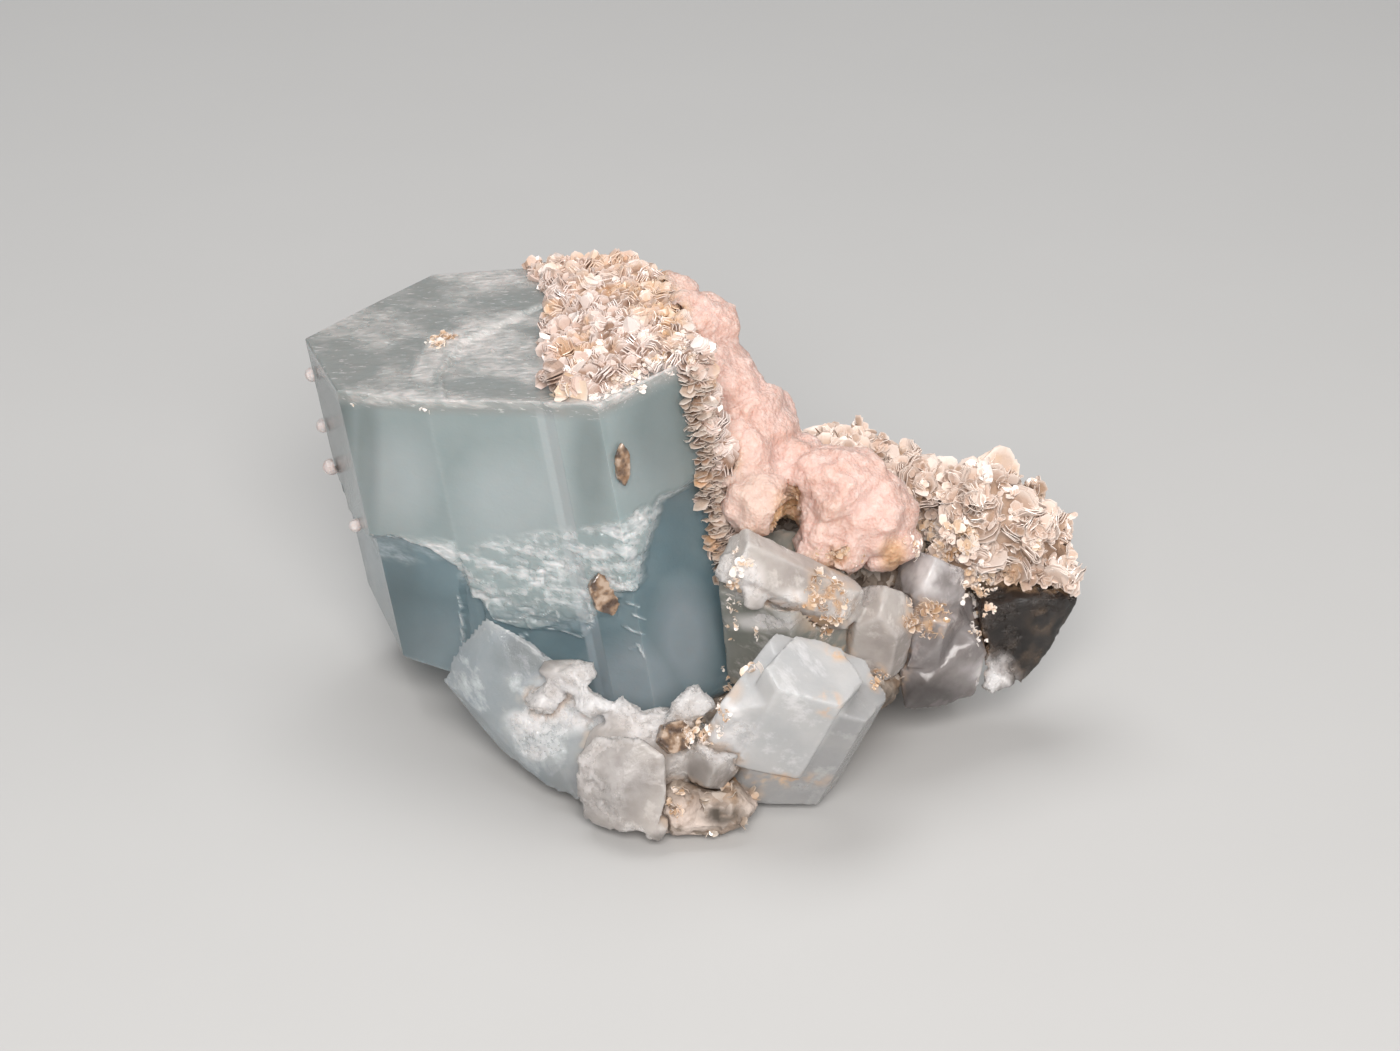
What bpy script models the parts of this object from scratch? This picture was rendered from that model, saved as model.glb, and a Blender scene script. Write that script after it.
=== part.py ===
"""Aquamarine crystal specimen: a stubby blue prism with quartz, apatite and mica on its rock.

Metres, +Z up. The origin is the middle of the flat cut that the specimen rests on, and the
big crystal's best side faces -Y. Every mineral body is one closed solid; bodies that touch
keep a fine gap. Crystals of one mineral that grew into each other are joined in one solid.
"""
import random
from math import cos, radians, sin, tau

import bmesh
import bpy
from mathutils import Matrix, Vector, noise

MM = 0.001
GAP = 0.3 * MM             # clearance between touching mineral bodies
BLOCK = 400 * MM           # raw block that every faceted crystal is cut from

# ---- the main aquamarine: place, lean and habit (its own frame: z along the c axis) ----
MAIN_CORNER = Vector((-16.4, -14.0, 70.2)) * MM   # front corner of the top face
MAIN_LEAN_LEFT = radians(9.2)
MAIN_LEAN_BACK = radians(3.0)
MAIN_OUTLINE = {           # corners of the basal face seen from the front corner, mm
    "front": (0.0, 0.0), "right": (14.5, 12.3), "back_right": (4.5, 56.8),
    "back": (-15.3, 61.9), "back_left": (-31.1, 65.1), "left_back": (-39.9, 56.9),
    "left": (-52.0, 44.9), "left_front": (-44.1, 20.6), "step": (-28.7, 11.7),
    "strip_left": (-9.2, 4.3), "strip_right": (-7.4, 2.9)}
CAP_DEPTH_FRONT = 37.5     # the pale cap reaches lowest left of its front corner
CAP_EDGES = (              # its lower edge rises to the left and to the right: point, normal
    ((-44.1, 20.6, -26.5), (-0.29, 0.0, -0.96)),
    ((0.0, 0.0, -35.0), (0.66, 0.0, -0.75)))
BODY_INSET = 0.9           # the clearer body lies this much inside the cap
TOP_STEP = 0.7             # the right part of the top face lies this much lower
BODY_BREAKS = (            # the broken lower end of the body, worn round at the left
    ((0.0, 0.0, 10.0), (0.0, 0.0, -1.0)),
    ((-53.0, 5.5, 12.0), (-0.75, -0.15, -0.6)),
    ((-50.5, 4.0, 9.6), (-0.35, -0.3, -0.9)))

# ---- the small aquamarine pair at the front right ----
SMALL_TOP = Vector((18.6, -27.0, 29.0)) * MM
SMALL_AXIS = Vector((0.337, -0.248, 0.908))
SMALL_TURN = radians(28)   # direction of its first prism face
SMALL_FACES = {            # axis to each prism face, counterclockwise
    "main": (7.3, 6.5, 6.1, 8.8, 6.8, 7.4),
    "right": (12.2, 8.0, 3.0, 6.0, 6.1, 11.6),
    "left": (3.0, 7.2, 9.0, 13.2, 6.3, 3.0)}
SMALL_LENGTH = 20.5
TWIN_LENGTH = 38.0

# ---- angular grains in the front quartz ----
FRONT_CHUNKS = (           # centre and radii of each, mm
    ((-21.5, -20.0, 23.5), (5.4, 3.8, 4.0)), ((-26.0, -20.0, 18.5), (4.4, 3.4, 3.8)),
    ((-17.0, -22.5, 20.0), (4.2, 3.4, 3.4)), ((-12.5, -23.5, 18.0), (3.6, 3.4, 3.4)),
    ((-1.5, -24.0, 20.5), (4.6, 3.6, 3.6)), ((-3.6, -25.0, 17.5), (3.2, 3.2, 3.2)),
    ((-2.6, -34.0, 6.8), (3.0, 2.8, 3.2)), ((-7.4, -35.0, 3.4), (2.8, 2.6, 2.8)))
CHUNK_CORNERS = 18         # corners of an angular grain


# ------------------------------------------------------------------ scene set-up
def clear_scene():
    for obj in list(bpy.data.objects):
        bpy.data.objects.remove(obj, do_unlink=True)


def new_collection(name, hidden=False):
    collection = bpy.data.collections.new(name)
    bpy.context.scene.collection.children.link(collection)
    collection.hide_render = hidden
    return collection


def mineral(name, colour, roughness, metallic=0.0):
    """A plain Principled material in the mineral's own colour."""
    material = bpy.data.materials.new(name)
    material.use_nodes = True
    shader = material.node_tree.nodes["Principled BSDF"]
    shader.inputs["Base Color"].default_value = (*colour, 1.0)
    shader.inputs["Roughness"].default_value = roughness
    shader.inputs["Metallic"].default_value = metallic
    material.diffuse_color = (*colour, 1.0)
    return material


# ------------------------------------------------------------------ basic shapes
def vec(x, y, z):
    return Vector((x, y, z)) * MM


def axis_frame(origin, axis, spin=0.0):
    """A frame whose z runs along axis and whose x stays nearest world X, then turned by spin."""
    along = Vector(axis).normalized()
    guide = Vector((1.0, 0.0, 0.0)) if abs(along.x) < 0.8 else Vector((0.0, 0.0, 1.0))
    side = (guide - along * guide.dot(along)).normalized()
    turn = Matrix((side, along.cross(side), along)).transposed().to_4x4()
    return Matrix.Translation(origin) @ turn @ Matrix.Rotation(spin, 4, "Z")


def cut_back(bm, planes, grow=0.0):
    """Cut a closed form back to each plane, given as a point and an outward normal."""
    for point, normal in planes:
        outward = Vector(normal).normalized()
        cut = bmesh.ops.bisect_plane(bm, geom=bm.verts[:] + bm.edges[:] + bm.faces[:],
                                     plane_co=point + outward * grow, plane_no=outward,
                                     clear_outer=True)
        rim = [item for item in cut["geom_cut"] if isinstance(item, bmesh.types.BMEdge)]
        if rim:
            bmesh.ops.contextual_create(bm, geom=rim)
    bmesh.ops.recalc_face_normals(bm, faces=bm.faces[:])
    return bm


def cut_block(planes, grow=0.0):
    """A faceted crystal: a raw block cut back to each of its face planes."""
    bm = bmesh.new()
    bmesh.ops.create_cube(bm, size=BLOCK)
    return cut_back(bm, planes, grow)


def offset_outline(points, distance):
    """An outline moved outward by distance, corner by corner (counterclockwise, 2D)."""
    moved = []
    for index, corner in enumerate(points):
        before = (corner - points[index - 1]).normalized()
        after = (points[(index + 1) % len(points)] - corner).normalized()
        out_before = Vector((before.y, -before.x))
        out_after = Vector((after.y, -after.x))
        mitre = (out_before + out_after).normalized()
        moved.append(corner + mitre * (distance / mitre.dot(out_before)))
    return moved


def prism(frame, outline, low, high, grow=0.0):
    """A straight prism over a closed outline (mm), from low to high along the frame's z."""
    points = offset_outline([Vector(point) * MM for point in outline], grow)
    bm = bmesh.new()
    base = bm.faces.new([bm.verts.new((p.x, p.y, low * MM - grow)) for p in points])
    raised = bmesh.ops.extrude_face_region(bm, geom=[base])
    top = [item for item in raised["geom"] if isinstance(item, bmesh.types.BMVert)]
    bmesh.ops.translate(bm, verts=top, vec=(0.0, 0.0, (high - low) * MM + 2 * grow))
    bm.transform(frame)
    bmesh.ops.recalc_face_normals(bm, faces=bm.faces[:])
    return bm


def side_planes(frame, across, turn=0.0):
    """Planes of a prism's side faces, at even angles and at the given distances (mm)."""
    planes = []
    for index, distance in enumerate(across):
        angle = turn + index * tau / len(across)
        normal = frame.to_3x3() @ Vector((cos(angle), sin(angle), 0.0))
        planes.append((frame.translation + normal * distance * MM, normal))
    return planes


def end_plane(frame, height, lean=0.0, toward=0.0, down=False):
    """An end face at height (mm), tipped by lean toward an angle about the axis."""
    normal = Vector((sin(lean) * cos(toward), sin(lean) * sin(toward), cos(lean)))
    if down:
        normal.z = -normal.z
    point = frame @ Vector((0.0, 0.0, height * MM))
    return point, frame.to_3x3() @ normal


def beryl(frame, across, low, high, extra=(), grow=0.0):
    """A six-sided prism with a flat basal face, cut by any extra planes."""
    planes = side_planes(frame, across)
    planes += [end_plane(frame, high), end_plane(frame, low, down=True), *extra]
    return cut_block(planes, grow)


def quartz(frame, across, low, tip, slope=radians(52), extra=(), grow=0.0):
    """A six-sided quartz crystal with a pointed end, cut by any extra planes."""
    planes = side_planes(frame, across)
    planes += [end_plane(frame, low, down=True), *extra]
    for index in range(6):
        rise = tip - (0.0, 2.2)[index % 2]
        planes.append(end_plane(frame, rise, slope, index * tau / 6))
    return cut_block(planes, grow)


def shard(corners, grow=0.0):
    """A broken faceted piece: the convex form around its corners (mm)."""
    bm = bmesh.new()
    for corner in corners:
        bm.verts.new(vec(*corner))
    hull = bmesh.ops.convex_hull(bm, input=bm.verts[:])
    loose = {item for item in hull["geom_interior"] if isinstance(item, bmesh.types.BMVert)}
    bmesh.ops.delete(bm, geom=list(loose), context="VERTS")
    bmesh.ops.recalc_face_normals(bm, faces=bm.faces[:])
    if not grow:
        return bm
    planes = [(face.calc_center_median(), face.normal.copy()) for face in bm.faces]
    bm.free()
    return cut_block(planes, grow)


def chunk(centre, radii, seed, grow=0.0):
    """An angular grain: the convex form around corners picked on an ellipsoid."""
    chance = random.Random(seed)
    corners = []
    for _ in range(CHUNK_CORNERS):
        way = Vector([chance.gauss(0.0, 1.0) for _ in range(3)]).normalized()
        corners.append([c + r * w for c, r, w in zip(centre, radii, way)])
    return shard(corners, grow)


def lump(centre, radii, seed, rough=0.16, detail=3, grow=0.0):
    """A rounded lump with a knobbly skin; radii and centre in mm."""
    bm = bmesh.new()
    bmesh.ops.create_icosphere(bm, subdivisions=detail, radius=1.0)
    shift = Vector((seed * 3.7, seed * 1.9, seed * 5.3))
    for vertex in bm.verts:
        way = vertex.co.normalized()
        swell = 1.0 + rough * noise.noise(way * 1.7 + shift)
        swell += 0.5 * rough * noise.noise(way * 4.1 + shift)
        size = Vector((way.x * radii[0], way.y * radii[1], way.z * radii[2])) * MM
        vertex.co = vec(*centre) + size * swell + way * grow
    return bm


def book(centre, axis, radius, thickness, spin=0.0, grow=0.0, width=1.0):
    """A mica book: a thin six-sided plate, its width a share of its length."""
    frame = axis_frame(vec(*centre), axis, spin)
    outline = [(radius * cos(k * tau / 6), radius * width * sin(k * tau / 6))
               for k in range(6)]
    return prism(frame, outline, -thickness / 2, thickness / 2, grow)


# ------------------------------------------------------------------ joining and cutting
def add_object(name, bm, collection):
    mesh = bpy.data.meshes.new(name)
    bm.to_mesh(mesh)
    bm.free()
    obj = bpy.data.objects.new(name, mesh)
    collection.objects.link(obj)
    return obj


def hidden_group(name, shapes):
    """Cutters or growths, kept out of sight in a collection of their own."""
    group = new_collection(name, hidden=True)
    for index, bm in enumerate(shapes):
        obj = add_object(f"{name}.{index:02d}", bm, group)
        obj.display_type = "WIRE"
        obj.hide_render = True
    return group


def boolean(obj, operation, group):
    modifier = obj.modifiers.new(operation.lower(), "BOOLEAN")
    modifier.operation = operation
    modifier.operand_type = "COLLECTION"
    modifier.collection = group
    modifier.solver = "EXACT"


def main_body_only(bm):
    """A cut can leave crumbs beside the piece: only its largest body stays."""
    seen = set()
    bodies = []
    for start in bm.verts:
        if start in seen:
            continue
        body = []
        stack = [start]
        seen.add(start)
        while stack:
            vertex = stack.pop()
            body.append(vertex)
            for edge in vertex.link_edges:
                other = edge.other_vert(vertex)
                if other not in seen:
                    seen.add(other)
                    stack.append(other)
        bodies.append(body)
    bodies.sort(key=len)
    crumbs = [vertex for body in bodies[:-1] for vertex in body]
    bmesh.ops.delete(bm, geom=crumbs, context="VERTS")


def extent(shapes):
    corners = [vertex.co for bm in shapes for vertex in bm.verts]
    low = Vector([min(co[axis] for co in corners) for axis in range(3)])
    high = Vector([max(co[axis] for co in corners) for axis in range(3)])
    return low, high


def near(shape, low, high):
    """Whether a shape's box meets the box from low to high."""
    shape_low, shape_high = extent([shape])
    return all(shape_low[axis] < high[axis] and shape_high[axis] > low[axis]
               for axis in range(3))


def make_node(name, growths, neighbours, material, parts, hollows=()):
    """Join one mineral's growths, and cut its neighbours out of it with a fine gap."""
    shapes = growths(0.0)
    low, high = extent(shapes)
    first = add_object(name + ".raw", shapes[0], parts)
    if len(shapes) > 1:
        boolean(first, "UNION", hidden_group(name + ".growths", shapes[1:]))
    cutters = list(hollows)
    cutters += [shape for other in neighbours for shape in other(GAP)
                if near(shape, low, high)]
    if cutters:
        boolean(first, "DIFFERENCE", hidden_group(name + ".cutters", cutters))
    depsgraph = bpy.context.evaluated_depsgraph_get()
    mesh = bpy.data.meshes.new_from_object(first.evaluated_get(depsgraph))
    bpy.data.objects.remove(first, do_unlink=True)
    bm = bmesh.new()
    bm.from_mesh(mesh)
    bmesh.ops.triangulate(bm, faces=bm.faces[:])
    bmesh.ops.remove_doubles(bm, verts=bm.verts[:], dist=0.002 * MM)
    bmesh.ops.dissolve_degenerate(bm, edges=bm.edges[:], dist=0.002 * MM)
    bmesh.ops.triangulate(bm, faces=bm.faces[:])
    main_body_only(bm)
    bmesh.ops.recalc_face_normals(bm, faces=bm.faces[:])
    mesh.name = name
    mesh.materials.clear()
    mesh.materials.append(material)
    bm.to_mesh(mesh)
    bm.free()
    node = bpy.data.objects.new(name, mesh)
    parts.objects.link(node)
    return node


# ------------------------------------------------------------------ the main aquamarine
def main_frame():
    lean = Matrix.Rotation(-MAIN_LEAN_BACK, 4, "X") @ Matrix.Rotation(-MAIN_LEAN_LEFT, 4, "Y")
    return Matrix.Translation(MAIN_CORNER) @ lean


def main_growths(grow=0.0):
    """The clearer body, and the pale cap that laps a little over it."""
    frame = main_frame()
    whole = list(MAIN_OUTLINE.values())
    inset = offset_outline([Vector(point) for point in whole], -BODY_INSET)
    body = prism(frame, [tuple(point) for point in inset], -70.0, -12.0, grow)
    cut_back(body, [(vec(*point), normal) for point, normal in BODY_BREAKS], grow)
    cap = prism(frame, whole, -CAP_DEPTH_FRONT, 0.0, grow)
    edges = [(frame @ vec(*point), frame.to_3x3() @ Vector(normal))
             for point, normal in CAP_EDGES]
    return [cut_back(cap, edges, grow), body]


def main_hollows():
    """The step in the top face: its right part grew a little less high."""
    outline = [(-28.9, -12.0), (30.0, -12.0), (30.0, 80.0), (-8.0, 80.0), (-10.2, 45.0),
               (-26.9, 34.2), (-28.3, 17.4)]
    return [prism(main_frame(), outline, -TOP_STEP, 5.0)]


# ------------------------------------------------------------------ the small aquamarines
def small_growths(grow=0.0):
    """Three parallel prisms: the one with the clean end, and lower ones right and left."""
    frame = axis_frame(SMALL_TOP, SMALL_AXIS)
    floor = (vec(0.0, 0.0, 1.6), (0.0, 0.0, -1.0))
    under = (vec(10.0, -33.0, 12.5), (-0.2, -0.5, -0.84))
    below = (vec(14.0, -36.5, 4.0), (-0.1, -0.75, -0.65))
    slant = (frame @ vec(-9.0, 0.0, -4.5), frame.to_3x3() @ Vector((-0.62, -0.2, 0.76)))
    growths = []
    for name, low, high, extra in (("main", -SMALL_LENGTH, 0.0, [under]),
                                   ("right", -TWIN_LENGTH, -2.6, [floor, below]),
                                   ("left", -SMALL_LENGTH, -1.6, [under, slant])):
        planes = side_planes(frame, SMALL_FACES[name], SMALL_TURN)
        planes += [end_plane(frame, high), end_plane(frame, low, down=True), *extra]
        growths.append(cut_block(planes, grow))
    return growths


def side_growths(grow=0.0):
    """The dark teal prism standing between the big crystal and the small pair."""
    frame = axis_frame(vec(13.5, -9.0, 36.5), (-0.08, -0.22, 0.97))
    return [beryl(frame, [10.5, 9.5, 9.5, 10.5, 8.5, 9.5], -22.0, 0.0, (), grow)]


# ------------------------------------------------------------------ quartz
def shard_growths(grow=0.0):
    """The clear shard that wedges out to the lower left."""
    return [shard([(-43.3, -8.0, 14.6), (-40.6, -8.5, 21.5), (-35.6, -11.0, 29.0),
                   (-28.0, -14.0, 26.0), (-17.0, -20.0, 20.0), (-38.5, -13.5, 13.5),
                   (-29.0, -20.5, 13.0), (-25.5, -23.0, 11.5), (-33.5, -15.0, 5.2),
                   (-25.7, -23.5, 3.7), (-20.1, -27.0, 3.0), (-15.0, -14.0, 8.0),
                   (-38.8, -8.0, 9.0), (-14.0, -24.0, 12.0)], grow)]


def front_growths(grow=0.0):
    """The rough quartz group along the bottom of the front."""
    block = shard([(-20.5, -30.0, 14.0), (-20.6, -31.5, 7.8), (-19.2, -31.0, 1.8),
                   (-12.5, -36.0, 2.2), (-7.0, -37.0, 4.5), (-5.5, -36.0, 9.0),
                   (-5.5, -33.0, 16.0), (-10.0, -31.5, 19.0), (-17.0, -29.0, 17.5),
                   (-15.0, -22.0, 8.0), (-6.0, -22.0, 8.0), (-14.0, -36.0, 10.5)], grow)
    pointed = quartz(axis_frame(vec(2.0, -28.0, 12.0), (0.1, -0.9, 0.42), radians(15)),
                     [4.6] * 6, -9.0, 8.5, grow=grow)
    grains = [chunk(centre, radii, seed, grow) for seed, (centre, radii) in
              enumerate(FRONT_CHUNKS)]
    core = lump((-8.0, -24.0, 11.0), (12.0, 6.5, 8.0), 8, rough=0.1, detail=2, grow=grow)
    return [core, block, pointed, *grains]


def bar_growths(grow=0.0):
    """The long quartz crystal above the small pair, with a blocky one at its right end."""
    bar = quartz(axis_frame(vec(16.5, -13.5, 36.5), (22.3, 4.0, -14.2), radians(10)),
                 [4.4, 4.0] * 3, -13.5, 15.0, grow=grow)
    block = quartz(axis_frame(vec(29.8, -9.5, 28.0), (0.12, -0.2, 0.97), radians(20)),
                   [5.2, 4.6, 5.4] * 2, -10.0, 9.5, grow=grow)
    grains = [chunk((5.4, -15.5, 40.6), (3.4, 3.0, 3.4), 9, grow),
              chunk((9.0, -17.8, 37.2), (2.8, 2.4, 2.6), 10, grow)]
    return [bar, block, *grains]


def right_growths(grow=0.0):
    """White and grey quartz crystals of the right end."""
    white = quartz(axis_frame(vec(38.5, -3.5, 31.0), (0.1, -0.35, 0.93), radians(5)),
                   [5.8, 5.0] * 3, -8.0, 9.0, grow=grow)
    grey = quartz(axis_frame(vec(38.5, -6.0, 24.0), (0.35, -0.75, 0.5), radians(25)),
                  [7.2, 6.6] * 3, -10.0, 9.0, grow=grow)
    clear = shard([(33.0, -8.0, 19.0), (34.6, -9.0, 9.2), (40.7, -7.0, 8.4),
                   (46.8, -5.0, 9.6), (48.5, -5.0, 18.0), (46.0, -7.5, 22.0),
                   (38.0, -11.0, 16.0), (33.0, 6.0, 14.0), (46.0, 8.0, 12.0),
                   (46.0, 8.0, 24.0), (34.0, 4.0, 26.0)], grow)
    violet = quartz(axis_frame(vec(37.0, 3.5, 41.0), (0.0, -0.5, 0.85)),
                    [3.4] * 6, -8.0, 4.0, grow=grow)
    return [grey, white, clear, violet]


def smoky_growths(grow=0.0):
    """The smoky crystal under the mica at the right, with a white grain below it."""
    smoky = shard([(64.4, 2.0, 24.6), (59.6, 0.0, 15.7), (54.9, -2.0, 9.4),
                   (47.5, -4.5, 15.5), (47.0, -4.5, 26.5), (57.0, -3.0, 27.5),
                   (62.0, 8.0, 26.0), (46.0, 12.0, 28.0), (47.0, 10.0, 13.0),
                   (57.0, 9.0, 13.5)], grow)
    return [smoky, chunk((50.6, -3.6, 11.8), (3.4, 2.9, 3.9), 13, grow)]


# ------------------------------------------------------------------ apatite
APATITE_LUMPS = (          # centre and radius of each botryoidal lobe, mm
    (-0.9, 21.0, 65.8, 7.4), (2.5, 15.0, 58.2, 8.2), (8.0, 11.0, 52.8, 8.2),
    (6.0, 4.0, 50.0, 7.8), (9.3, -5.5, 47.3, 5.5), (23.0, 0.0, 46.0, 8.4),
    (28.3, -2.0, 43.0, 7.6), (22.0, -5.5, 40.0, 6.2), (31.0, -3.5, 39.0, 5.2),
    (14.0, 7.0, 45.0, 8.6), (-5.0, 32.5, 65.0, 5.8))


def apatite_growths(grow=0.0):
    """Pink botryoidal apatite that runs down from the back of the big crystal."""
    return [lump((x, y, z), (r, r, r * 0.96), index + 20, rough=0.2, grow=grow)
            for index, (x, y, z, r) in enumerate(APATITE_LUMPS)]


# ------------------------------------------------------------------ muscovite
def crest_growths(grow=0.0):
    """Mica crust on the right of the big crystal's top and down its right edge."""
    frame = main_frame()
    top = prism(frame, [(-5.5, 6.0), (3.0, 6.5), (14.8, 13.5), (4.8, 57.5), (-14.0, 62.5),
                        (-9.0, 44.0), (-10.0, 26.0)], -1.0, 1.5, grow)
    side = prism(frame, [(14.0, 11.0), (18.0, 13.5), (9.0, 53.0), (4.2, 57.0)],
                 -36.0, 0.6, grow)
    return [top, side] + crest_books(frame, grow)


def crest_books(frame, grow):
    """Books of mica standing on the crust, leaning all ways."""
    chance = random.Random(7)
    books = []
    for row in range(7):
        for column in range(3):
            p = -6.0 + column * 6.5 - row * 0.4 + chance.uniform(-1.2, 1.2)
            q = 12.0 + row * 6.4 + chance.uniform(-1.5, 1.5)
            centre = frame @ vec(p, q, 1.2 - row * 0.12)
            axis = Vector((chance.uniform(-1, 1), chance.uniform(-1, 1), 0.9))
            books.append(book(centre / MM, axis, chance.uniform(2.4, 3.2), 1.1,
                              chance.uniform(0, 1), grow))
    for step in range(9):
        centre = frame @ vec(16.8 + chance.uniform(-0.3, 0.3), 13.2, 0.5 - step * 4.0)
        axis = Vector((chance.uniform(-0.5, 0.1), -0.35, 1.0))
        books.append(book(centre / MM, axis, chance.uniform(2.4, 3.2), 1.1,
                          chance.uniform(0, 1), grow))
    return books


ROSETTE_LUMPS = (          # centre and radii of the packed mica behind the rosettes, mm
    (24.0, 19.0, 42.0, 9.0, 8.0, 5.5), (36.0, 14.0, 38.4, 8.5, 8.0, 6.8),
    (47.5, 11.0, 37.8, 9.5, 8.5, 8.0), (53.8, 8.5, 34.0, 7.8, 7.0, 8.0),
    (55.5, 6.5, 28.0, 8.4, 6.0, 5.0), (45.0, 6.0, 32.0, 6.5, 6.0, 7.5))


def rosette_growths(grow=0.0):
    """Packed mica at the right end, with large rosettes of books on it."""
    packed = [lump((x, y, z), (a, b, c), index + 50, rough=0.14, detail=2, grow=grow)
              for index, (x, y, z, a, b, c) in enumerate(ROSETTE_LUMPS)]
    chance = random.Random(11)
    books = []
    for x, y, z, a, b, c in ROSETTE_LUMPS:
        for turn in range(6):
            angle = turn * tau / 6 + chance.uniform(-0.3, 0.3)
            lift = chance.uniform(-0.2, 0.9)
            out = Vector((cos(angle) * cos(lift), sin(angle) * cos(lift), sin(lift)))
            centre = (x + out.x * a * 0.9, y + out.y * b * 0.9, z + out.z * c * 0.9)
            axis = Vector((chance.uniform(-1, 1), chance.uniform(-1, 1),
                           chance.uniform(-1, 1))) + out
            books.append(book(centre, axis, chance.uniform(3.0, 4.4), 1.3,
                              chance.uniform(0, 1), grow))
    return packed + books


# ------------------------------------------------------------------ rock
ROCK_LUMPS = (             # centre and radii of the rock's swells, mm
    (-2.0, 1.0, 4.0, 30.5, 27.0, 8.0), (20.0, 12.0, 14.0, 20.0, 18.0, 18.0),
    (36.0, 9.0, 22.0, 12.0, 11.0, 12.0), (6.0, 24.0, 24.0, 12.0, 13.0, 22.0),
    (-1.0, -27.0, 4.0, 11.0, 9.5, 5.5), (-4.0, 36.0, 40.0, 9.0, 8.0, 20.0),
    (27.0, -7.0, 14.5, 7.5, 8.0, 6.5))


def rock_growths(grow=0.0):
    """The pegmatite rock behind and below, sawn flat at the bottom."""
    return [cut_back(lump((x, y, z), (a, b, c), index + 80, rough=0.22, detail=2, grow=grow),
                     [(Vector(), (0.0, 0.0, -1.0))], grow)
            for index, (x, y, z, a, b, c) in enumerate(ROCK_LUMPS)]


# ------------------------------------------------------------------ small loose-looking pieces
SMALL_BOOKS = {            # centre, axis, radius, thickness (mm), spin and width of each
    "mica_book_brown": ((-15.6, -14.6, 35.6), (0.25, -0.9, 0.3), 3.9, 1.8, 1.9, 0.68),
    "mica_book_side": ((-12.6, -13.5, 59.2), (0.6, -0.75, 0.2), 3.6, 1.4, 1.65, 0.42),
    "mica_book_front": ((-4.2, -29.5, 17.4), (0.4, -0.8, 0.5), 3.1, 2.4, 0.3, 0.9)}
BUTTONS = (                # centre and radius of each apatite button on the left edge, mm
    (-66.5, 27.6, 54.0, 1.3), (-65.2, 28.0, 43.8, 1.3), (-64.2, 27.4, 36.0, 1.5),
    (-59.0, 14.6, 31.6, 1.2))


def small_pieces():
    """Names and growths of the single mica books and the apatite buttons."""
    for name, (centre, axis, radius, thick, spin, width) in SMALL_BOOKS.items():
        yield name, lambda grow, p=(centre, axis, radius, thick, spin), w=width: [
            book(*p, grow, w)]
    for index, (x, y, z, radius) in enumerate(BUTTONS):
        yield f"apatite_button_{index + 1}", lambda grow, p=(x, y, z), r=radius, k=index: [
            lump(p, (r, r, r), k + 40, rough=0.1, detail=2, grow=grow)]


# ------------------------------------------------------------------ the whole specimen
def build_specimen():
    clear_scene()
    parts = new_collection("aquamarine_crystal")
    blue = mineral("aquamarine", (0.33, 0.47, 0.50), 0.12)
    pale = mineral("pale_aquamarine", (0.55, 0.66, 0.68), 0.15)
    clear = mineral("quartz", (0.62, 0.64, 0.62), 0.2)
    smoky = mineral("smoky_quartz", (0.33, 0.29, 0.27), 0.2)
    pink = mineral("apatite", (0.86, 0.62, 0.54), 0.45)
    mica = mineral("muscovite", (0.66, 0.58, 0.50), 0.3)
    rock = mineral("pegmatite", (0.52, 0.44, 0.37), 0.85)
    brown = mineral("brown_mica", (0.33, 0.24, 0.17), 0.35)
    order = [("aquamarine_main", main_growths, blue),
             ("aquamarine_small", small_growths, pale),
             ("quartz_shard", shard_growths, clear),
             ("quartz_bar", bar_growths, clear),
             ("aquamarine_side", side_growths, blue),
             ("quartz_front", front_growths, clear),
             ("quartz_right", right_growths, clear),
             ("smoky_quartz", smoky_growths, smoky),
             ("muscovite_crest", crest_growths, mica),
             ("apatite_mass", apatite_growths, pink),
             ("muscovite_rosettes", rosette_growths, mica),
             ("matrix_rock", rock_growths, rock)]
    for name, growths in small_pieces():
        order.append((name, growths, pink if "apatite" in name else brown))
    placed = []
    for name, growths, material in order:
        hollows = main_hollows() if name == "aquamarine_main" else ()
        make_node(name, growths, placed, material, parts, hollows)
        placed.append(growths)


build_specimen()
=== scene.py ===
"""Looks of the aquamarine specimen: frosted and clear beryl, quartz, sugary apatite,
thousands of mica flakes and a granular rock, on a pale studio floor.

Lengths written as plain numbers are millimetres and are turned into metres by MM.
"""
import random
from math import cos, pi, radians, sin, tau

import bpy
import numpy as np
from mathutils import Matrix, Vector, noise
from mathutils.bvhtree import BVHTree


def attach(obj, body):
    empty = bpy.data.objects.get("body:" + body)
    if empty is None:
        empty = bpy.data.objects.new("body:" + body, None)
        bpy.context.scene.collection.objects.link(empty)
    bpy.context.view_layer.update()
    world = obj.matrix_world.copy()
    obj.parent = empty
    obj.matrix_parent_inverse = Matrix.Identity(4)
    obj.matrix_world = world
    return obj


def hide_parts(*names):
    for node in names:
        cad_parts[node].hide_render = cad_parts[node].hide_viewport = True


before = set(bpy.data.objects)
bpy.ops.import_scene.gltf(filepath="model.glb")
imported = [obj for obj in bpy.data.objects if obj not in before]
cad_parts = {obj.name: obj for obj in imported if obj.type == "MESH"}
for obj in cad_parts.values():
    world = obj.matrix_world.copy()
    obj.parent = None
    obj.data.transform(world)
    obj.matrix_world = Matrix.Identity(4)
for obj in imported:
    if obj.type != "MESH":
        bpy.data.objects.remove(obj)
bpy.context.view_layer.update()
MM = 0.001

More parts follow.
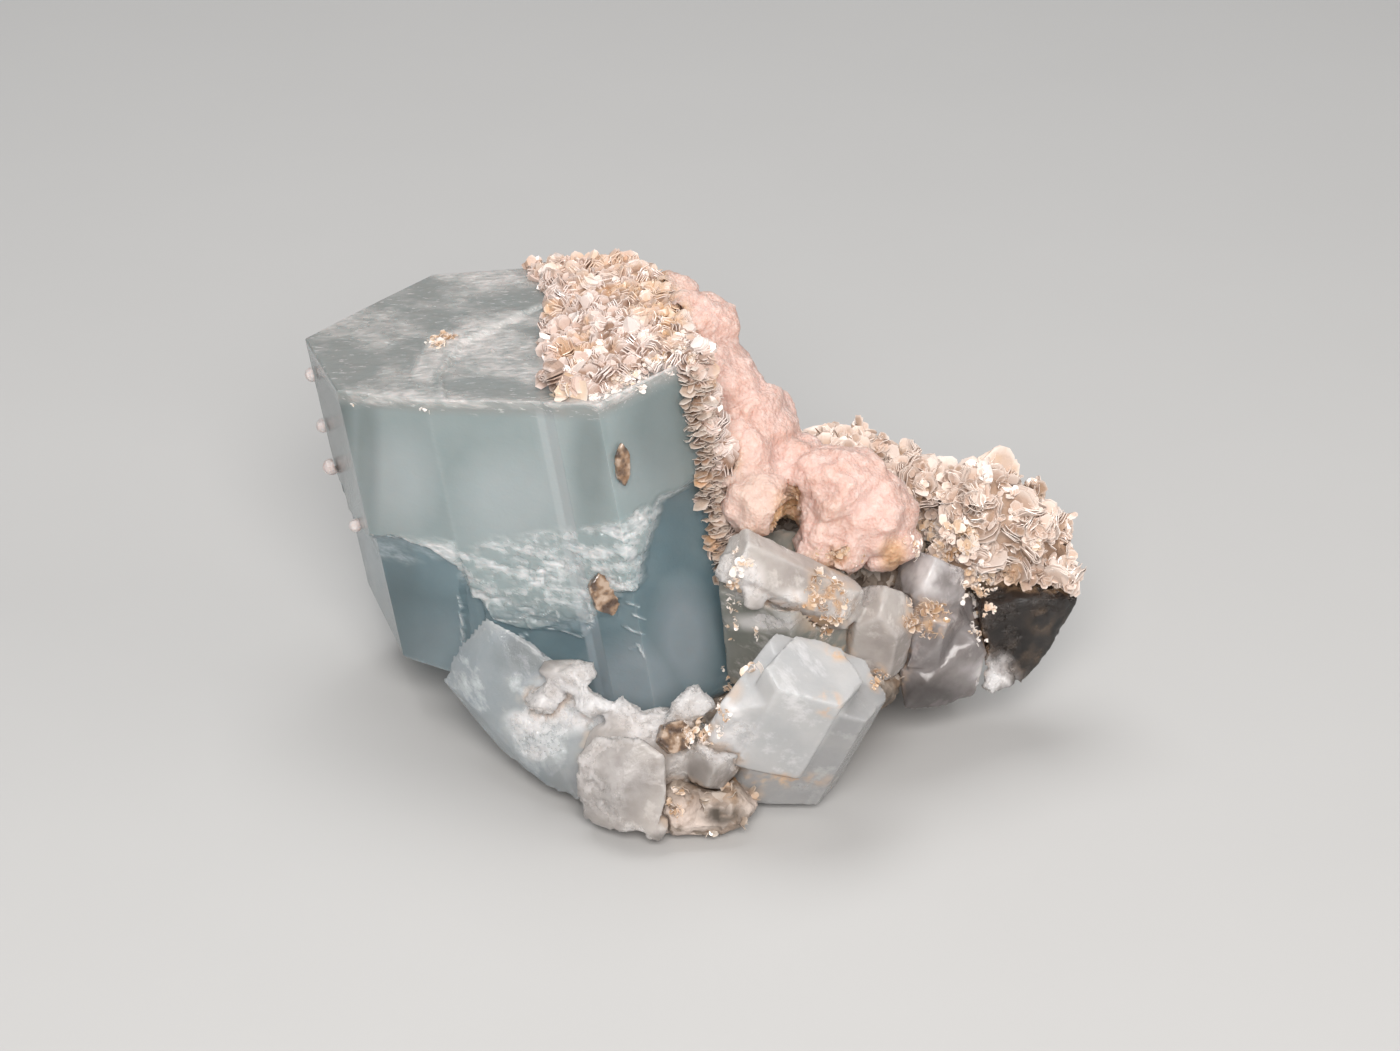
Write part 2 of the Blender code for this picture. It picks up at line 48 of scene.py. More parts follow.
# ---- the photograph's view ----
VIEW_TARGET = (0.0, 0.0, 40.0)
VIEW_HEIGHT = radians(30.0)
VIEW_DISTANCE = 583.3
FORWARD = np.array((0.0, cos(VIEW_HEIGHT), -sin(VIEW_HEIGHT)))
UP = np.array((0.0, sin(VIEW_HEIGHT), cos(VIEW_HEIGHT)))
RIGHT = np.array((1.0, 0.0, 0.0))
VIEW_PLACE = np.array(VIEW_TARGET) - FORWARD * VIEW_DISTANCE
LENS = 90.0
SENSOR = 36.0
IMAGE = (1400, 1051)
PIXELS_PER_MM = 6.0  # at the middle of the part
TOP_DASHES = (0.16, 0.0, -0.27)  # turns that lay the top's dashes level in the view

# ---- the main crystal: its place, lean and basal face as in the CAD ----
MAIN_CORNER = (-16.4, -14.0, 70.2)
MAIN_LEAN_LEFT = radians(9.2)
MAIN_LEAN_BACK = radians(3.0)
MAIN_OUTLINE = ((0.0, 0.0), (14.5, 12.3), (4.5, 56.8), (-15.3, 61.9), (-31.1, 65.1),
                (-39.9, 56.9), (-52.0, 44.9), (-44.1, 20.6), (-28.7, 11.7), (-9.2, 4.3),
                (-7.4, 2.9))
MAIN_FINE_EDGES = (0, 6, 7, 8, 9, 10)  # prism faces on the display side, meshed finely
FACE_STEP = 0.42  # mesh spacing on those faces
BACK_STEP = 0.75  # and on the others
STRIP_FACE = 9  # the narrow face between two steps, which gets a painted sheen
DISPLAY_SIDE = 24.0  # points with a smaller y belong to the display side
BACK_CAP = 29.0  # how far the cap reaches down the back
MAIN_BOTTOM = 10.2
BODY_INSET = 1.0
TOP_RINGS = 60
SIDE_SHARES = np.concatenate((  # rings down the sides, closest in the etched zone
    np.linspace(0.0, 0.3, 26), np.linspace(0.3, 0.76, 92)[1:], np.linspace(0.76, 1.0, 24)[1:]))
MAIN_MASKS = ("cap", "frost", "milk_and_sheen", "top", "shade")

# ---- in photograph pixels: outlines, and patches as centre, half width and height, strength ----
CAP_OUTLINE = ((290, 250), (740, 240), (740, 450), (711, 472), (662, 502), (646, 545),
               (639, 572), (632, 592), (600, 606), (591, 624), (560, 621), (530, 630),
               (492, 621), (485, 605), (470, 602), (463, 590), (455, 567), (430, 551),
               (400, 540), (366, 535), (340, 500), (290, 400))
ETCHED_ZONE = ((455, 560), (480, 548), (520, 538), (565, 534), (600, 532), (640, 520),
               (662, 500), (646, 545), (639, 592), (600, 606), (593, 626), (578, 640),
               (550, 634), (492, 622), (470, 603), (460, 585))
FROST_PATCHES = (  # whitish frosted places: outline and strength
    (((345, 388), (430, 392), (540, 396), (540, 408), (440, 407), (350, 403)), 0.8),
    (((540, 396), (575, 392), (640, 368), (690, 350), (692, 364), (640, 388), (600, 412),
      (585, 404), (545, 405)), 1.0),
    (((405, 538), (455, 543), (458, 566), (430, 552), (400, 541)), 1.0),
    (((366, 534), (400, 542), (440, 560), (400, 566), (372, 560)), 0.35),
    (((408, 380), (418, 355), (440, 345), (446, 356), (430, 382)), 0.8),
    (((425, 350), (430, 334), (465, 330), (470, 345)), 1.0))
MILK_AND_SHEEN_PATCHES = (  # milky places inside, partly painted sheen where the body catches the light
    (400, 480, 40, 50, 0.7), (510, 500, 60, 50, 0.6), (640, 470, 40, 30, 0.25),
    (640, 680, 60, 40, 0.9), (430, 650, 40, 40, 0.4), (550, 460, 14, 90, 0.4),
    (688, 640, 34, 60, 1.0))
PAINTED_SHADE_PATCHES = (  # painted shade: darker, greener places on faces turned from the light
    (665, 430, 50, 80, 0.6), (590, 460, 20, 80, 0.4), (328, 450, 26, 140, 1.0),
    (366, 460, 14, 90, 0.4), (405, 620, 60, 60, 0.5))
LOWER_TOP = ((446, 400), (440, 372), (462, 342), (540, 304), (600, 290), (700, 330),
             (690, 360), (597, 402), (553, 400))
CLEAR_CHIP_FROM = 598  # pixel row below which the chips are clear
LEFT_BLOCK_EDGE = ((458, 560), (458, 600), (466, 680), (486, 680), (480, 604), (470, 600))
DEEP_SHADE_PATCHES = (  # painted shade in deep places of the other crystals and the rock
    (930, 650, 40, 24, 0.36), (925, 702, 56, 30, 0.78), (868, 735, 12, 60, 0.2),
    (1035, 618, 64, 66, 1.2), (622, 778, 42, 42, 0.5), (705, 775, 30, 26, 0.4),
    (560, 800, 40, 40, 0.4), (722, 814, 22, 14, 1.0), (664, 838, 16, 8, 0.6),
    (530, 652, 34, 26, 0.4))
SHADED_FACES = ((862, 682), (892, 692), (890, 750), (826, 812), (728, 812), (724, 768),
              (799, 779))  # painted shade on the small crystal's outer faces
SHADED_FACE_DARK = 0.38
PALE_ROCK = ((680, 822, 60, 30, 0.95), (780, 805, 60, 22, 0.8), (690, 700, 30, 30, 0.6))
SNOW_PATCHES = (  # snowy crusts
    (585, 698, 54, 34, 1.0), (930, 576, 26, 22, 0.55), (745, 577, 20, 22, 0.7),
    (795, 600, 34, 12, 0.7), (765, 622, 44, 10, 0.7), (722, 725, 32, 40, 0.6),
    (997, 678, 22, 24, 1.0), (608, 775, 40, 42, 0.3), (530, 722, 26, 14, 0.9),
    (535, 752, 12, 10, 0.5), (695, 700, 26, 20, 0.8), (640, 720, 30, 24, 0.7))
CLEAN_PATCHES = (  # smooth clear faces
    (815, 668, 52, 36, 1.0), (474, 655, 40, 44, 1.0), (880, 625, 26, 40, 0.8),
    (930, 585, 30, 26, 0.6), (930, 700, 44, 26, 0.8), (708, 778, 26, 22, 0.9),
    (850, 725, 40, 44, 0.9), (640, 790, 20, 20, 0.2), (755, 660, 40, 40, 0.6))
CRACKS = (  # bright lines: the rims of thin glassy chips
    ((486, 604), (492, 622), (516, 622), (529, 614), (541, 616), (566, 602), (600, 602)),
    ((524, 620), (532, 630), (560, 632), (578, 640), (586, 633), (591, 624), (588, 601)),
    ((620, 578), (620, 590), (637, 593), (639, 571)), ((600, 606), (612, 592), (620, 590)),
    ((498, 646), (512, 642), (524, 637)), ((556, 612), (557, 622)),
    ((623, 629), (632, 634), (643, 637)), ((628, 606), (640, 610)), ((634, 618), (645, 622)),
    ((630, 652), (638, 648), (645, 660)), ((456, 600), (459, 640), (457, 670)))
RUST_PATCHES = (  # honey-brown places in the mica
    (650, 296, 30, 26, 0.8), (596, 262, 60, 16, 0.55), (670, 318, 18, 30, 0.9),
    (545, 262, 30, 10, 0.5), (703, 545, 10, 40, 0.5), (1000, 430, 60, 12, 0.3))
STAIN_PATCHES = (  # rusty and dirty places
    (825, 605, 30, 38, 0.9), (925, 618, 26, 22, 0.8), (878, 678, 10, 14, 1.0),
    (703, 732, 20, 14, 0.7), (893, 556, 15, 20, 0.9), (840, 652, 16, 10, 0.9),
    (1042, 622, 16, 16, 0.2), (1028, 662, 22, 22, 0.15), (1064, 640, 12, 30, 0.15),
    (828, 703, 14, 15, 1.0), (785, 780, 50, 8, 0.8), (732, 690, 12, 14, 0.5),
    (786, 510, 14, 26, 0.6), (838, 556, 12, 9, 0.8), (690, 815, 20, 10, 0.4))


# ---- small helpers ----
def unit(values):
    """Values held between 0 and 1."""
    return np.clip(values, 0.0, 1.0)


def to_pixels(points):
    """Photograph pixels of points given in mm, one row each."""
    rays = points - VIEW_PLACE
    scale = LENS / SENSOR * IMAGE[0] / (rays @ FORWARD)
    return IMAGE[0] / 2 + scale * (rays @ RIGHT), IMAGE[1] / 2 - scale * (rays @ UP)


def inside(outline, x, y):
    """Whether each point lies in a closed outline."""
    hit = np.zeros(x.shape, bool)
    for (x0, y0), (x1, y1) in zip(outline, outline[1:] + outline[:1]):
        crosses = (y0 > y) != (y1 > y)
        reach = x0 + (y - y0) * (x1 - x0) / ((y1 - y0) or 1e-9)
        hit ^= crosses & (x < reach)
    return hit


def line_distance(line, x, y):
    """Distance in pixels from each point to a line through several corners."""
    best = np.full(x.shape, 1e9)
    for (x0, y0), (x1, y1) in zip(line, line[1:]):
        dx, dy = x1 - x0, y1 - y0
        along = unit(((x - x0) * dx + (y - y0) * dy) / (dx * dx + dy * dy + 1e-9))
        best = np.minimum(best, np.hypot(x - x0 - along * dx, y - y0 - along * dy))
    return best


def soft_inside(outline, x, y, softness):
    """1 inside an outline, 0 outside, with a soft border softness pixels wide."""
    away = line_distance(outline + outline[:1], x, y)
    signed = np.where(inside(outline, x, y), 1.0, -1.0) * away
    return unit(0.5 + signed / softness)


def fractal(points, size, octaves, seed):
    """Layered noise from -1 to 1 at each point (mm), with features of the given size."""
    shift = Vector((seed, seed * 1.7, seed * 2.3))
    return np.array([noise.fractal(Vector(p) / size + shift, 1.0, 2.0, octaves)
                     for p in points])


def cells(points, size, seed):
    """Distance to the nearest cell centre, 0 at the centres, about 0.7 at the borders."""
    shift = Vector((seed, seed * 1.3, seed * 0.7))
    return np.array([noise.voronoi(Vector(p) / size + shift)[0][0] for p in points])


def add_object(name, data):
    obj = bpy.data.objects.new(name, data)
    bpy.context.scene.collection.objects.link(obj)
    return obj


def new_mesh_object(name, points, faces):
    """A mesh object from points in mm and a list of faces."""
    mesh = bpy.data.meshes.new(name)
    mesh.from_pydata((np.asarray(points) * MM).tolist(), [], faces)
    mesh.validate()
    return add_object(name, mesh)


def read_points(obj):
    points = np.zeros(len(obj.data.vertices) * 3)
    obj.data.vertices.foreach_get("co", points)
    return points.reshape(-1, 3) / MM


def read_normals(obj):
    normals = np.zeros(len(obj.data.vertices) * 3, np.float32)
    obj.data.vertex_normals.foreach_get("vector", normals)
    return normals.reshape(-1, 3).astype(float)


def write_points(obj, points):
    obj.data.vertices.foreach_set("co", (points * MM).ravel())
    obj.data.update()


def write_masks(obj, **masks):
    """Named values from 0 to 1 at each point, which the material reads."""
    for name, values in masks.items():
        mask = obj.data.attributes.new(name, "FLOAT", "POINT")
        mask.data.foreach_set("value", unit(values).astype(np.float32))


def gathered(nodes):
    """The points, in mm, and the faces of some CAD nodes together."""
    points, faces = [], []
    for node in nodes:
        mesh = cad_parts[node].data
        start = len(points)
        points += [vertex.co / MM for vertex in mesh.vertices]
        faces += [[start + index for index in face.vertices] for face in mesh.polygons]
    return points, faces


def skin(name, node, voxel):
    """A finely remeshed copy of a CAD node, voxel mm fine."""
    obj = new_mesh_object(name, *gathered([node]))
    remesh = obj.modifiers.new("remesh", "REMESH")
    remesh.mode = "VOXEL"
    remesh.voxel_size = voxel * MM
    mesh = bpy.data.meshes.new_from_object(
        obj.evaluated_get(bpy.context.evaluated_depsgraph_get()))
    obj.modifiers.clear()
    rough, obj.data = obj.data, mesh
    bpy.data.meshes.remove(rough)
    return obj


def finish_piece(obj, material, nodes=(), crease=35.0):
    """Give a piece its material and shading, sharp beyond crease degrees, and its place."""
    obj.data.materials.append(material)
    obj.data.shade_smooth()
    obj.data.set_sharp_from_angle(angle=radians(crease))
    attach(obj, "root")
    if nodes:
        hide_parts(*nodes)


def search_tree(nodes):
    """A tree for finding the nearest point or the first hit on some CAD nodes, in mm."""
    return BVHTree.FromPolygons(*gathered(nodes))


def others_tree(node):
    """The same for every CAD node but one."""
    return search_tree([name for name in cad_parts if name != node])


def spot(x, y):
    """Where the view's line through a photograph pixel meets the part, and which way it faces."""
    way = (FORWARD * LENS / SENSOR * IMAGE[0] + RIGHT * (x - IMAGE[0] / 2)
           - UP * (y - IMAGE[1] / 2))
    return WHOLE.ray_cast(Vector(VIEW_PLACE), Vector(way))[:2]


def spread(obj, values, rounds):
    """Average values over each point's neighbours, several times."""
    pairs = np.zeros(len(obj.data.edges) * 2, int)
    obj.data.edges.foreach_get("vertices", pairs)
    first, second = pairs[0::2], pairs[1::2]
    count = len(values)
    share = 1.0 / np.maximum(np.bincount(pairs, minlength=count), 1)
    columns = values.reshape(count, -1).T.copy()
    for _ in range(rounds):
        for column in columns:
            column[:] = share * (np.bincount(first, column[second], count)
                                 + np.bincount(second, column[first], count))
    return columns.T.reshape(values.shape)


def facets(points, size, seed, dome=0.0):
    """Small flat facets, each tilted its own way; dome raises their middles into grains."""
    offset = Vector((seed, seed * 1.3, seed * 0.7))
    half = Vector((0.5, 0.5, 0.5))
    rise = np.zeros(len(points))
    for index, point in enumerate(points):
        place = Vector(point) / size + offset
        distances, centres = noise.voronoi(place)
        tilt = noise.cell_vector(centres[0] * 7.3) - half
        rise[index] = dome * (0.45 - distances[0]) + 1.4 * tilt.dot(place - centres[0])
    return rise


def sharpness(obj, voxel):
    """1 on a remeshed piece's convex edges and corners, 0 on its flats and hollows."""
    points = read_points(obj)
    rise = ((points - spread(obj, points, 3)) * read_normals(obj)).sum(axis=1)
    return unit(spread(obj, rise, 1) / (0.35 * voxel))


def near_others(points, node, reach):
    """1 where a point touches the other CAD nodes, 0 beyond reach mm from them."""
    others = others_tree(node)
    away = np.array([others.find_nearest(Vector(p), reach)[3] or reach for p in points])
    return 1.0 - away / reach


def patches(points, places):
    """The strongest of several soft ellipses (x, y, half width, half height, strength)."""
    x, y = to_pixels(points)
    best = np.zeros(len(points))
    for px, py, wide, high, strength in places:
        away = np.hypot((x - px) / wide, (y - py) / high)
        best = np.maximum(best, strength * unit(1.6 - 1.3 * away))
    return best


def worn_crystal(name, node, voxel, rough, relief, seed):
    """A remeshed crystal with smooth faces and broken, crusty places, and masks for both."""
    obj = skin(name, node, voxel)
    edge = sharpness(obj, voxel)
    points, normals = read_points(obj), read_normals(obj)
    seam = near_others(points, node, 1.6)
    snow = patches(points, SNOW_PATCHES)
    share = 0.5 + 0.7 * fractal(points, 8.0, 6, seed) + 0.15 * edge + 0.25 * seam
    share += 0.7 * snow - 0.6 * patches(points, CLEAN_PATCHES)
    crust = unit((share - 1.05 + rough) / 0.35)
    broken = facets(points, 3.4, seed) + 0.5 * facets(points, 1.5, seed + 3.0)
    chipped = edge * unit(0.2 + fractal(points, 2.5, 4, seed))
    depth = 0.45 * chipped + relief * crust * (0.45 + broken)
    points -= normals * (depth + 0.03 * fractal(points, 5.0, 3, seed + 5.0))[:, None]
    points[:, 2] = np.maximum(points[:, 2], 0.0)
    write_points(obj, points)
    grainy = unit(0.5 + 2.2 * fractal(points, 2.2, 5, seed + 9.0))
    marks = patches(points, STAIN_PATCHES)
    # painted shade: the small crystal's outer faces and the deep patches make up the dark mask
    grey = SHADED_FACE_DARK * soft_inside(SHADED_FACES, *to_pixels(points), 5.0)
    write_masks(obj, stain=np.maximum(0.6 * seam, marks) * grainy, edge=spread(obj, edge, 1),
                crust=crust, dark=np.maximum(grey, patches(points, DEEP_SHADE_PATCHES)),
                snow=snow * unit(0.8 + fractal(points, 3.0, 5, seed)))
    return obj


# ---- leaves of mica ----
LEAF_ROWS = ((0.0, 0.5), (0.55, 1.0), (1.0, 0.66))  # share of length, share of width
WIDE_LEAF = (-1.0, -0.42, 0.42, 1.0)  # columns across a big leaf
SMALL_LEAF = (-1.0, 0.0, 1.0)  # and across a small one
GOLDEN_TURN = 2.4  # from one leaf of a rosette to the next
TIP_REACH = 0.7  # how far a tip may pass the solids
LEAF_ROOM = 2.0  # free room that a spot for leaves needs above it
LOWEST_LEAF = 1.5  # no leaves stand below this height
FRINGE_SHEETS, FRINGE_LENGTH = 260, 39.0
CRUST_VOXEL, APATITE_VOXEL, ROCK_VOXEL = 0.45, 0.42, 0.68
BOOK_VOXEL = 0.24


class Leaves:
    """Thin curved leaves, gathered one by one and then built as one mesh."""

    def __init__(self, seed, columns=WIDE_LEAF):
        self.random = random.Random(seed)
        self.columns = columns
        self.rows = []

    def add(self, base, up, across, length, width, cup, thick, tone):
        self.rows.append((*base, *up, *across, length, width, cup, thick, tone))

    def rosette(self, centre, axis, size, count, lean, tone, thick=0.12, leaves=1):
        """Leaves round an axis, upright in the middle and leaning out at the rim."""
        pick = self.random.uniform
        side = axis.orthogonal().normalized()
        start = pick(0.0, tau)
        for index in range(count):
            share = (index + 0.5) / count
            turn = start + index * GOLDEN_TURN + pick(-0.3, 0.3)
            out = Matrix.Rotation(turn, 3, axis) @ side
            tilt = lean * share ** 0.7 + pick(-0.2, 0.2)
            up = (axis * cos(tilt) + out * sin(tilt)).normalized()
            across = axis.cross(out).normalized()
            length = size * pick(0.7, 1.1) * (0.75 + 0.35 * share)
            width = length * pick(0.7, 1.15)
            shade = tone + pick(-0.3, 0.3)
            face = up.cross(across)
            base = centre + out * size * 0.3 * share
            base -= up * too_far_out(base + up * length)
            for leaf in range(leaves):
                self.add(base - face * leaf * thick * 1.8, up, across, length * pick(0.86, 1.0),
                         width * pick(0.9, 1.0), pick(0.1, 0.45), thick,
                         shade + pick(-0.12, 0.12))

    def build(self, name):
        """One closed thin plate per leaf, cupped across and bent along its length."""
        rows = np.array(self.rows)
        base, up, across = rows[:, 0:3], rows[:, 3:6], rows[:, 6:9]
        length, width, cup, thick, tone = rows[:, 9:14].T
        face = np.cross(up, across)
        columns = self.columns
        wide, tall = len(columns), len(LEAF_ROWS)
        count, rng = len(rows), np.random.default_rng(7)
        wobble = rng.uniform(-1.0, 1.0, (count, tall, wide, 3))
        sides, lit_rims = [], []
        for side in (0.5, -0.5):
            grid = []
            for r, (along, share) in enumerate(LEAF_ROWS):
                for c, column in enumerate(columns):
                    jog = wobble[:, r, c]
                    reach = length * (along * (1.0 - 0.16 * column * column) + 0.06 * jog[:, 0])
                    span = 0.5 * width * (share * column + 0.1 * jog[:, 1])
                    bend = cup * length * (0.3 * column * column + 0.25 * along * along)
                    lift = bend + 0.05 * length * jog[:, 2] + side * thick * (1.15 - 0.5 * along)
                    grid.append(base + up * reach[:, None] + across * span[:, None]
                                + face * lift[:, None])
                    # painted highlight on each leaf's tip row and, on wide leaves, its outer
                    # columns
                    lit_rims.append(float(r == tall - 1 or wide > 3 and abs(column) == 1.0))
            sides.append(np.stack(grid, axis=1))
        points = np.concatenate(sides, axis=1)
        back = wide * tall
        template = []
        for r in range(tall - 1):
            for c in range(wide - 1):
                one = r * wide + c
                quad = (one, one + 1, one + wide + 1, one + wide)
                template += [quad[::-1], tuple(back + index for index in quad)]
        border = ([*range(wide)] + [r * wide + wide - 1 for r in range(1, tall)]
                  + [*range(back - 2, back - wide - 1, -1)]
                  + [r * wide for r in range(tall - 2, 0, -1)])
        for here, there in zip(border, border[1:] + border[:1]):
            template.append((here, there, back + there, back + here))
        faces = (np.array(template)[None] + np.arange(count)[:, None, None] * back * 2)
        obj = new_mesh_object(name, points.reshape(-1, 3), faces.reshape(-1, 4).tolist())
        write_masks(obj, tone=np.repeat(tone, back * 2), rim=np.tile(lit_rims, count),
                    rust=patches(read_points(obj), RUST_PATCHES))
        return obj


def too_far_out(tip):
    """How far a leaf's tip stands out beyond its reach over the solids, in mm."""
    near, normal, _, away = WHOLE.find_nearest(tip)
    return 0.0 if (tip - near).dot(normal) < 0.0 else max(0.0, away - TIP_REACH)


def sites(obj, node, spacing, seed):
    """Spots on a piece's open surface, at least spacing mm apart, and which way they face."""
    points, normals = read_points(obj), spread(obj, read_normals(obj), 4)
    others = others_tree(node)
    order = np.random.default_rng(seed).permutation(len(points))
    chosen = np.zeros((0, 3))
    found = []
    for index in order:
        point = points[index]
        if (((chosen - point) ** 2).sum(axis=1) < spacing ** 2).any():
            continue
        normal = Vector(normals[index]).normalized()
        hit = others.ray_cast(Vector(point), normal, LEAF_ROOM)[0]
        if hit is not None or point[2] < LOWEST_LEAF:
            continue
        chosen = np.vstack((chosen, point))
        found.append((Vector(point), normal))
    return found


def finish_leaves(leaves, name, mica, nodes=()):
    finish_piece(leaves.build(name), mica, nodes, crease=20.0)


def shaken(direction, amount, pick):
    """A direction turned at random."""
    return (direction + Vector([pick(-1, 1) for _ in range(3)]) * amount).normalized()


# ---- materials ----
class Nodes:
    """A short way to write a material's node tree."""

    def __init__(self, name):
        self.material = bpy.data.materials.new(name)
        self.material.use_nodes = True
        self.tree = self.material.node_tree
        self.shader = self.tree.nodes["Principled BSDF"]
        self.place = self.tree.nodes.new("ShaderNodeTexCoord").outputs["Object"]

    def node(self, kind, inputs, **settings):
        node = self.tree.nodes.new("ShaderNode" + kind)
        for key, value in settings.items():
            setattr(node, key, value)
        for key, value in inputs.items():
            self.plug(node.inputs[key], value)
        return node

    def plug(self, socket, value):
        if isinstance(value, bpy.types.NodeSocket):
            self.tree.links.new(value, socket)
        else:
            socket.default_value = value

    def set(self, **inputs):
        """Set or link the Principled shader's inputs; underscores stand for spaces."""
        for key, value in inputs.items():
            self.plug(self.shader.inputs[key.replace("_", " ")], value)

    def stretched(self, scale, turn):
        return self.node("Mapping", {"Vector": self.place, "Scale": scale, "Rotation": turn},
                         vector_type="TEXTURE").outputs["Vector"]

    def noise(self, size, detail=4.0, rough=0.55, vector=None):
        """Noise with features of about size mm, from 0 to 1."""
        return self.node("TexNoise", {"Vector": vector or self.place, "Scale": 1.0 / (size * MM),
                                      "Detail": detail, "Roughness": rough}).outputs["Fac"]

    def voronoi(self, size, output="Distance"):
        scale = 1.0 / (size * MM)
        return self.node("TexVoronoi", {"Vector": self.place, "Scale": scale}).outputs[output]

    def ramp(self, value, low, high, to_low=0.0, to_high=1.0):
        return self.node("MapRange", {"Value": value, "From Min": low, "From Max": high,
                                      "To Min": to_low, "To Max": to_high}).outputs["Result"]

    def math(self, operation, first, second):
        return self.node("Math", {0: first, 1: second}, operation=operation).outputs[0]

    def times(self, first, second):
        return self.math("MULTIPLY", first, second)

    def mix(self, amount, first, second):
        """Mix two colours."""
        made = self.node("Mix", {"Factor": amount}, data_type="RGBA")
        self.plug(made.inputs[6], rgba(first))
        self.plug(made.inputs[7], rgba(second))
        return made.outputs[2]

    def mask(self, name):
        return self.node("Attribute", {}, attribute_name=name).outputs["Fac"]

    def bump(self, height, depth):
        made = self.node("Bump", {"Height": height, "Distance": depth * MM, "Strength": 1.0})
        self.set(Normal=made.outputs["Normal"])

    def milky(self, weight, radius):
        """Scatter light under the surface."""
        self.set(Subsurface_Weight=weight, Subsurface_Scale=0.004, Subsurface_Radius=radius)

    def absorb(self, colour, density):
        made = self.node("VolumeAbsorption", {"Color": rgba(colour), "Density": density})
        self.plug(self.tree.nodes["Material Output"].inputs["Volume"], made.outputs["Volume"])


def rgba(colour):
    return colour if isinstance(colour, bpy.types.NodeSocket) else (*colour, 1.0)


def main_beryl():
    """Pale milky cap over a clearer teal body, frosted where it is etched, with painted shade,
    painted sheen and painted glints.
    """
    m = Nodes("aquamarine")
    cap, frost, milk_and_sheen, top, shade = (m.mask(name) for name in MAIN_MASKS)
    cloud = m.noise(16.0, 3.0)
    dashes = m.noise(0.9, 6.0, 0.65, m.stretched((2.9, 1.0, 0.7), TOP_DASHES))
    glints = m.noise(0.55, 3.0, 0.6, m.stretched((5.0, 1.0, 1.0), TOP_DASHES))
    body = m.mix(m.ramp(cloud, 0.35, 0.65), (0.26, 0.36, 0.4), (0.33, 0.44, 0.48))
    # painted sheen: this mask lightens the body and the cap, partly real milkiness and partly
    # painted light
    body = m.mix(milk_and_sheen, body, (0.6, 0.68, 0.73))
    pale = m.mix(m.ramp(cloud, 0.3, 0.7), (0.38, 0.45, 0.45), (0.47, 0.54, 0.54))
    pale = m.mix(milk_and_sheen, pale, (0.6, 0.65, 0.66))
    pale = m.mix(m.times(top, 0.8), pale, (0.42, 0.42, 0.4))
    colour = m.mix(cap, body, pale)
    # painted shade on the faces turned from the light
    colour = m.mix(m.times(shade, 0.8), colour, (0.11, 0.14, 0.14))
    white = m.times(frost, m.ramp(dashes, 0.35, 0.62, 0.25, 1.0))
    colour = m.mix(white, colour, m.mix(top, (0.86, 0.86, 0.87), (0.74, 0.69, 0.67)))
    # painted glints on the top face
    glint = m.times(m.ramp(glints, 0.61, 0.66), m.times(top, 0.7))
    colour = m.mix(glint, colour, (0.92, 0.9, 0.88))
    clear = m.times(m.ramp(cap, 0.0, 1.0, 0.6, 0.4),
                   m.ramp(white, 0.0, 1.0, 1.0, 0.1))
    m.set(Base_Color=colour, Transmission_Weight=clear, IOR=1.57,
          Roughness=m.math("ADD", m.ramp(cap, 0.0, 1.0, 0.1, 0.16),
                           m.ramp(frost, 0.0, 1.0, 0.0, 0.3)))
    m.milky(0.5, (0.6, 0.9, 1.0))
    m.bump(m.times(m.math("ADD", m.noise(0.7, 6.0), dashes),
                  m.ramp(frost, 0.0, 0.7, 0.25, 1.0)), 0.16)
    m.absorb((0.6, 0.85, 0.92), 16.0)
    return m.material


def clear_crystal(name, colour, second, ior, clear, rough, absorb, density, white):
    """A milky see-through crystal with veils inside, snowy where its surface is broken."""
    m = Nodes(name)
    cloud = m.noise(7.0, 5.0)
    veil = m.ramp(m.noise(5.0, 8.0, 0.7, m.stretched((1.0, 2.5, 1.2), (0.5, 0.3, 0.8))),
                  0.54, 0.66, 0.0, 0.55)
    crust = m.times(m.mask("crust"),
                   m.ramp(m.noise(1.4, 8.0, 0.65), 0.35, 0.6, 0.3, 1.0))
    crust = m.math("MAXIMUM", crust, m.times(m.mask("edge"), 0.2))
    tint = m.mix(m.ramp(cloud, 0.35, 0.65), colour, second)
    tint = m.mix(m.math("MAXIMUM", veil, crust), tint, white)
    # painted shade: the dark mask darkens the tint
    tint = m.mix(m.times(m.mask("dark"), 0.85), tint, (0.02, 0.016, 0.014))
    snow, stain = m.mask("snow"), m.mask("stain")
    tint = m.mix(snow, tint, (0.98, 0.95, 0.95))
    rust = m.mix(m.noise(1.6, 6.0), (0.38, 0.21, 0.11), (0.86, 0.6, 0.38))
    tint = m.mix(stain, tint, rust)
    cover = m.math("MAXIMUM", m.times(m.math("MAXIMUM", crust, veil), 0.85),
                   m.math("MAXIMUM", stain, snow))
    m.set(Base_Color=tint, IOR=ior, Transmission_Weight=m.ramp(cover, 0.0, 1.0, clear, 0.02),
          Roughness=m.math("ADD", m.ramp(cloud, 0.3, 0.7, rough, rough + 0.08),
                           m.times(crust, 0.25)))
    m.milky(0.6, (1.0, 0.95, 0.9))
    rise = m.math("ADD", m.noise(0.7, 8.0, 0.7), m.noise(2.5, 4.0))
    m.bump(m.times(rise, m.ramp(crust, 0.0, 1.0, 0.25, 1.0)), 0.3)
    m.absorb(absorb, density)
    return m.material


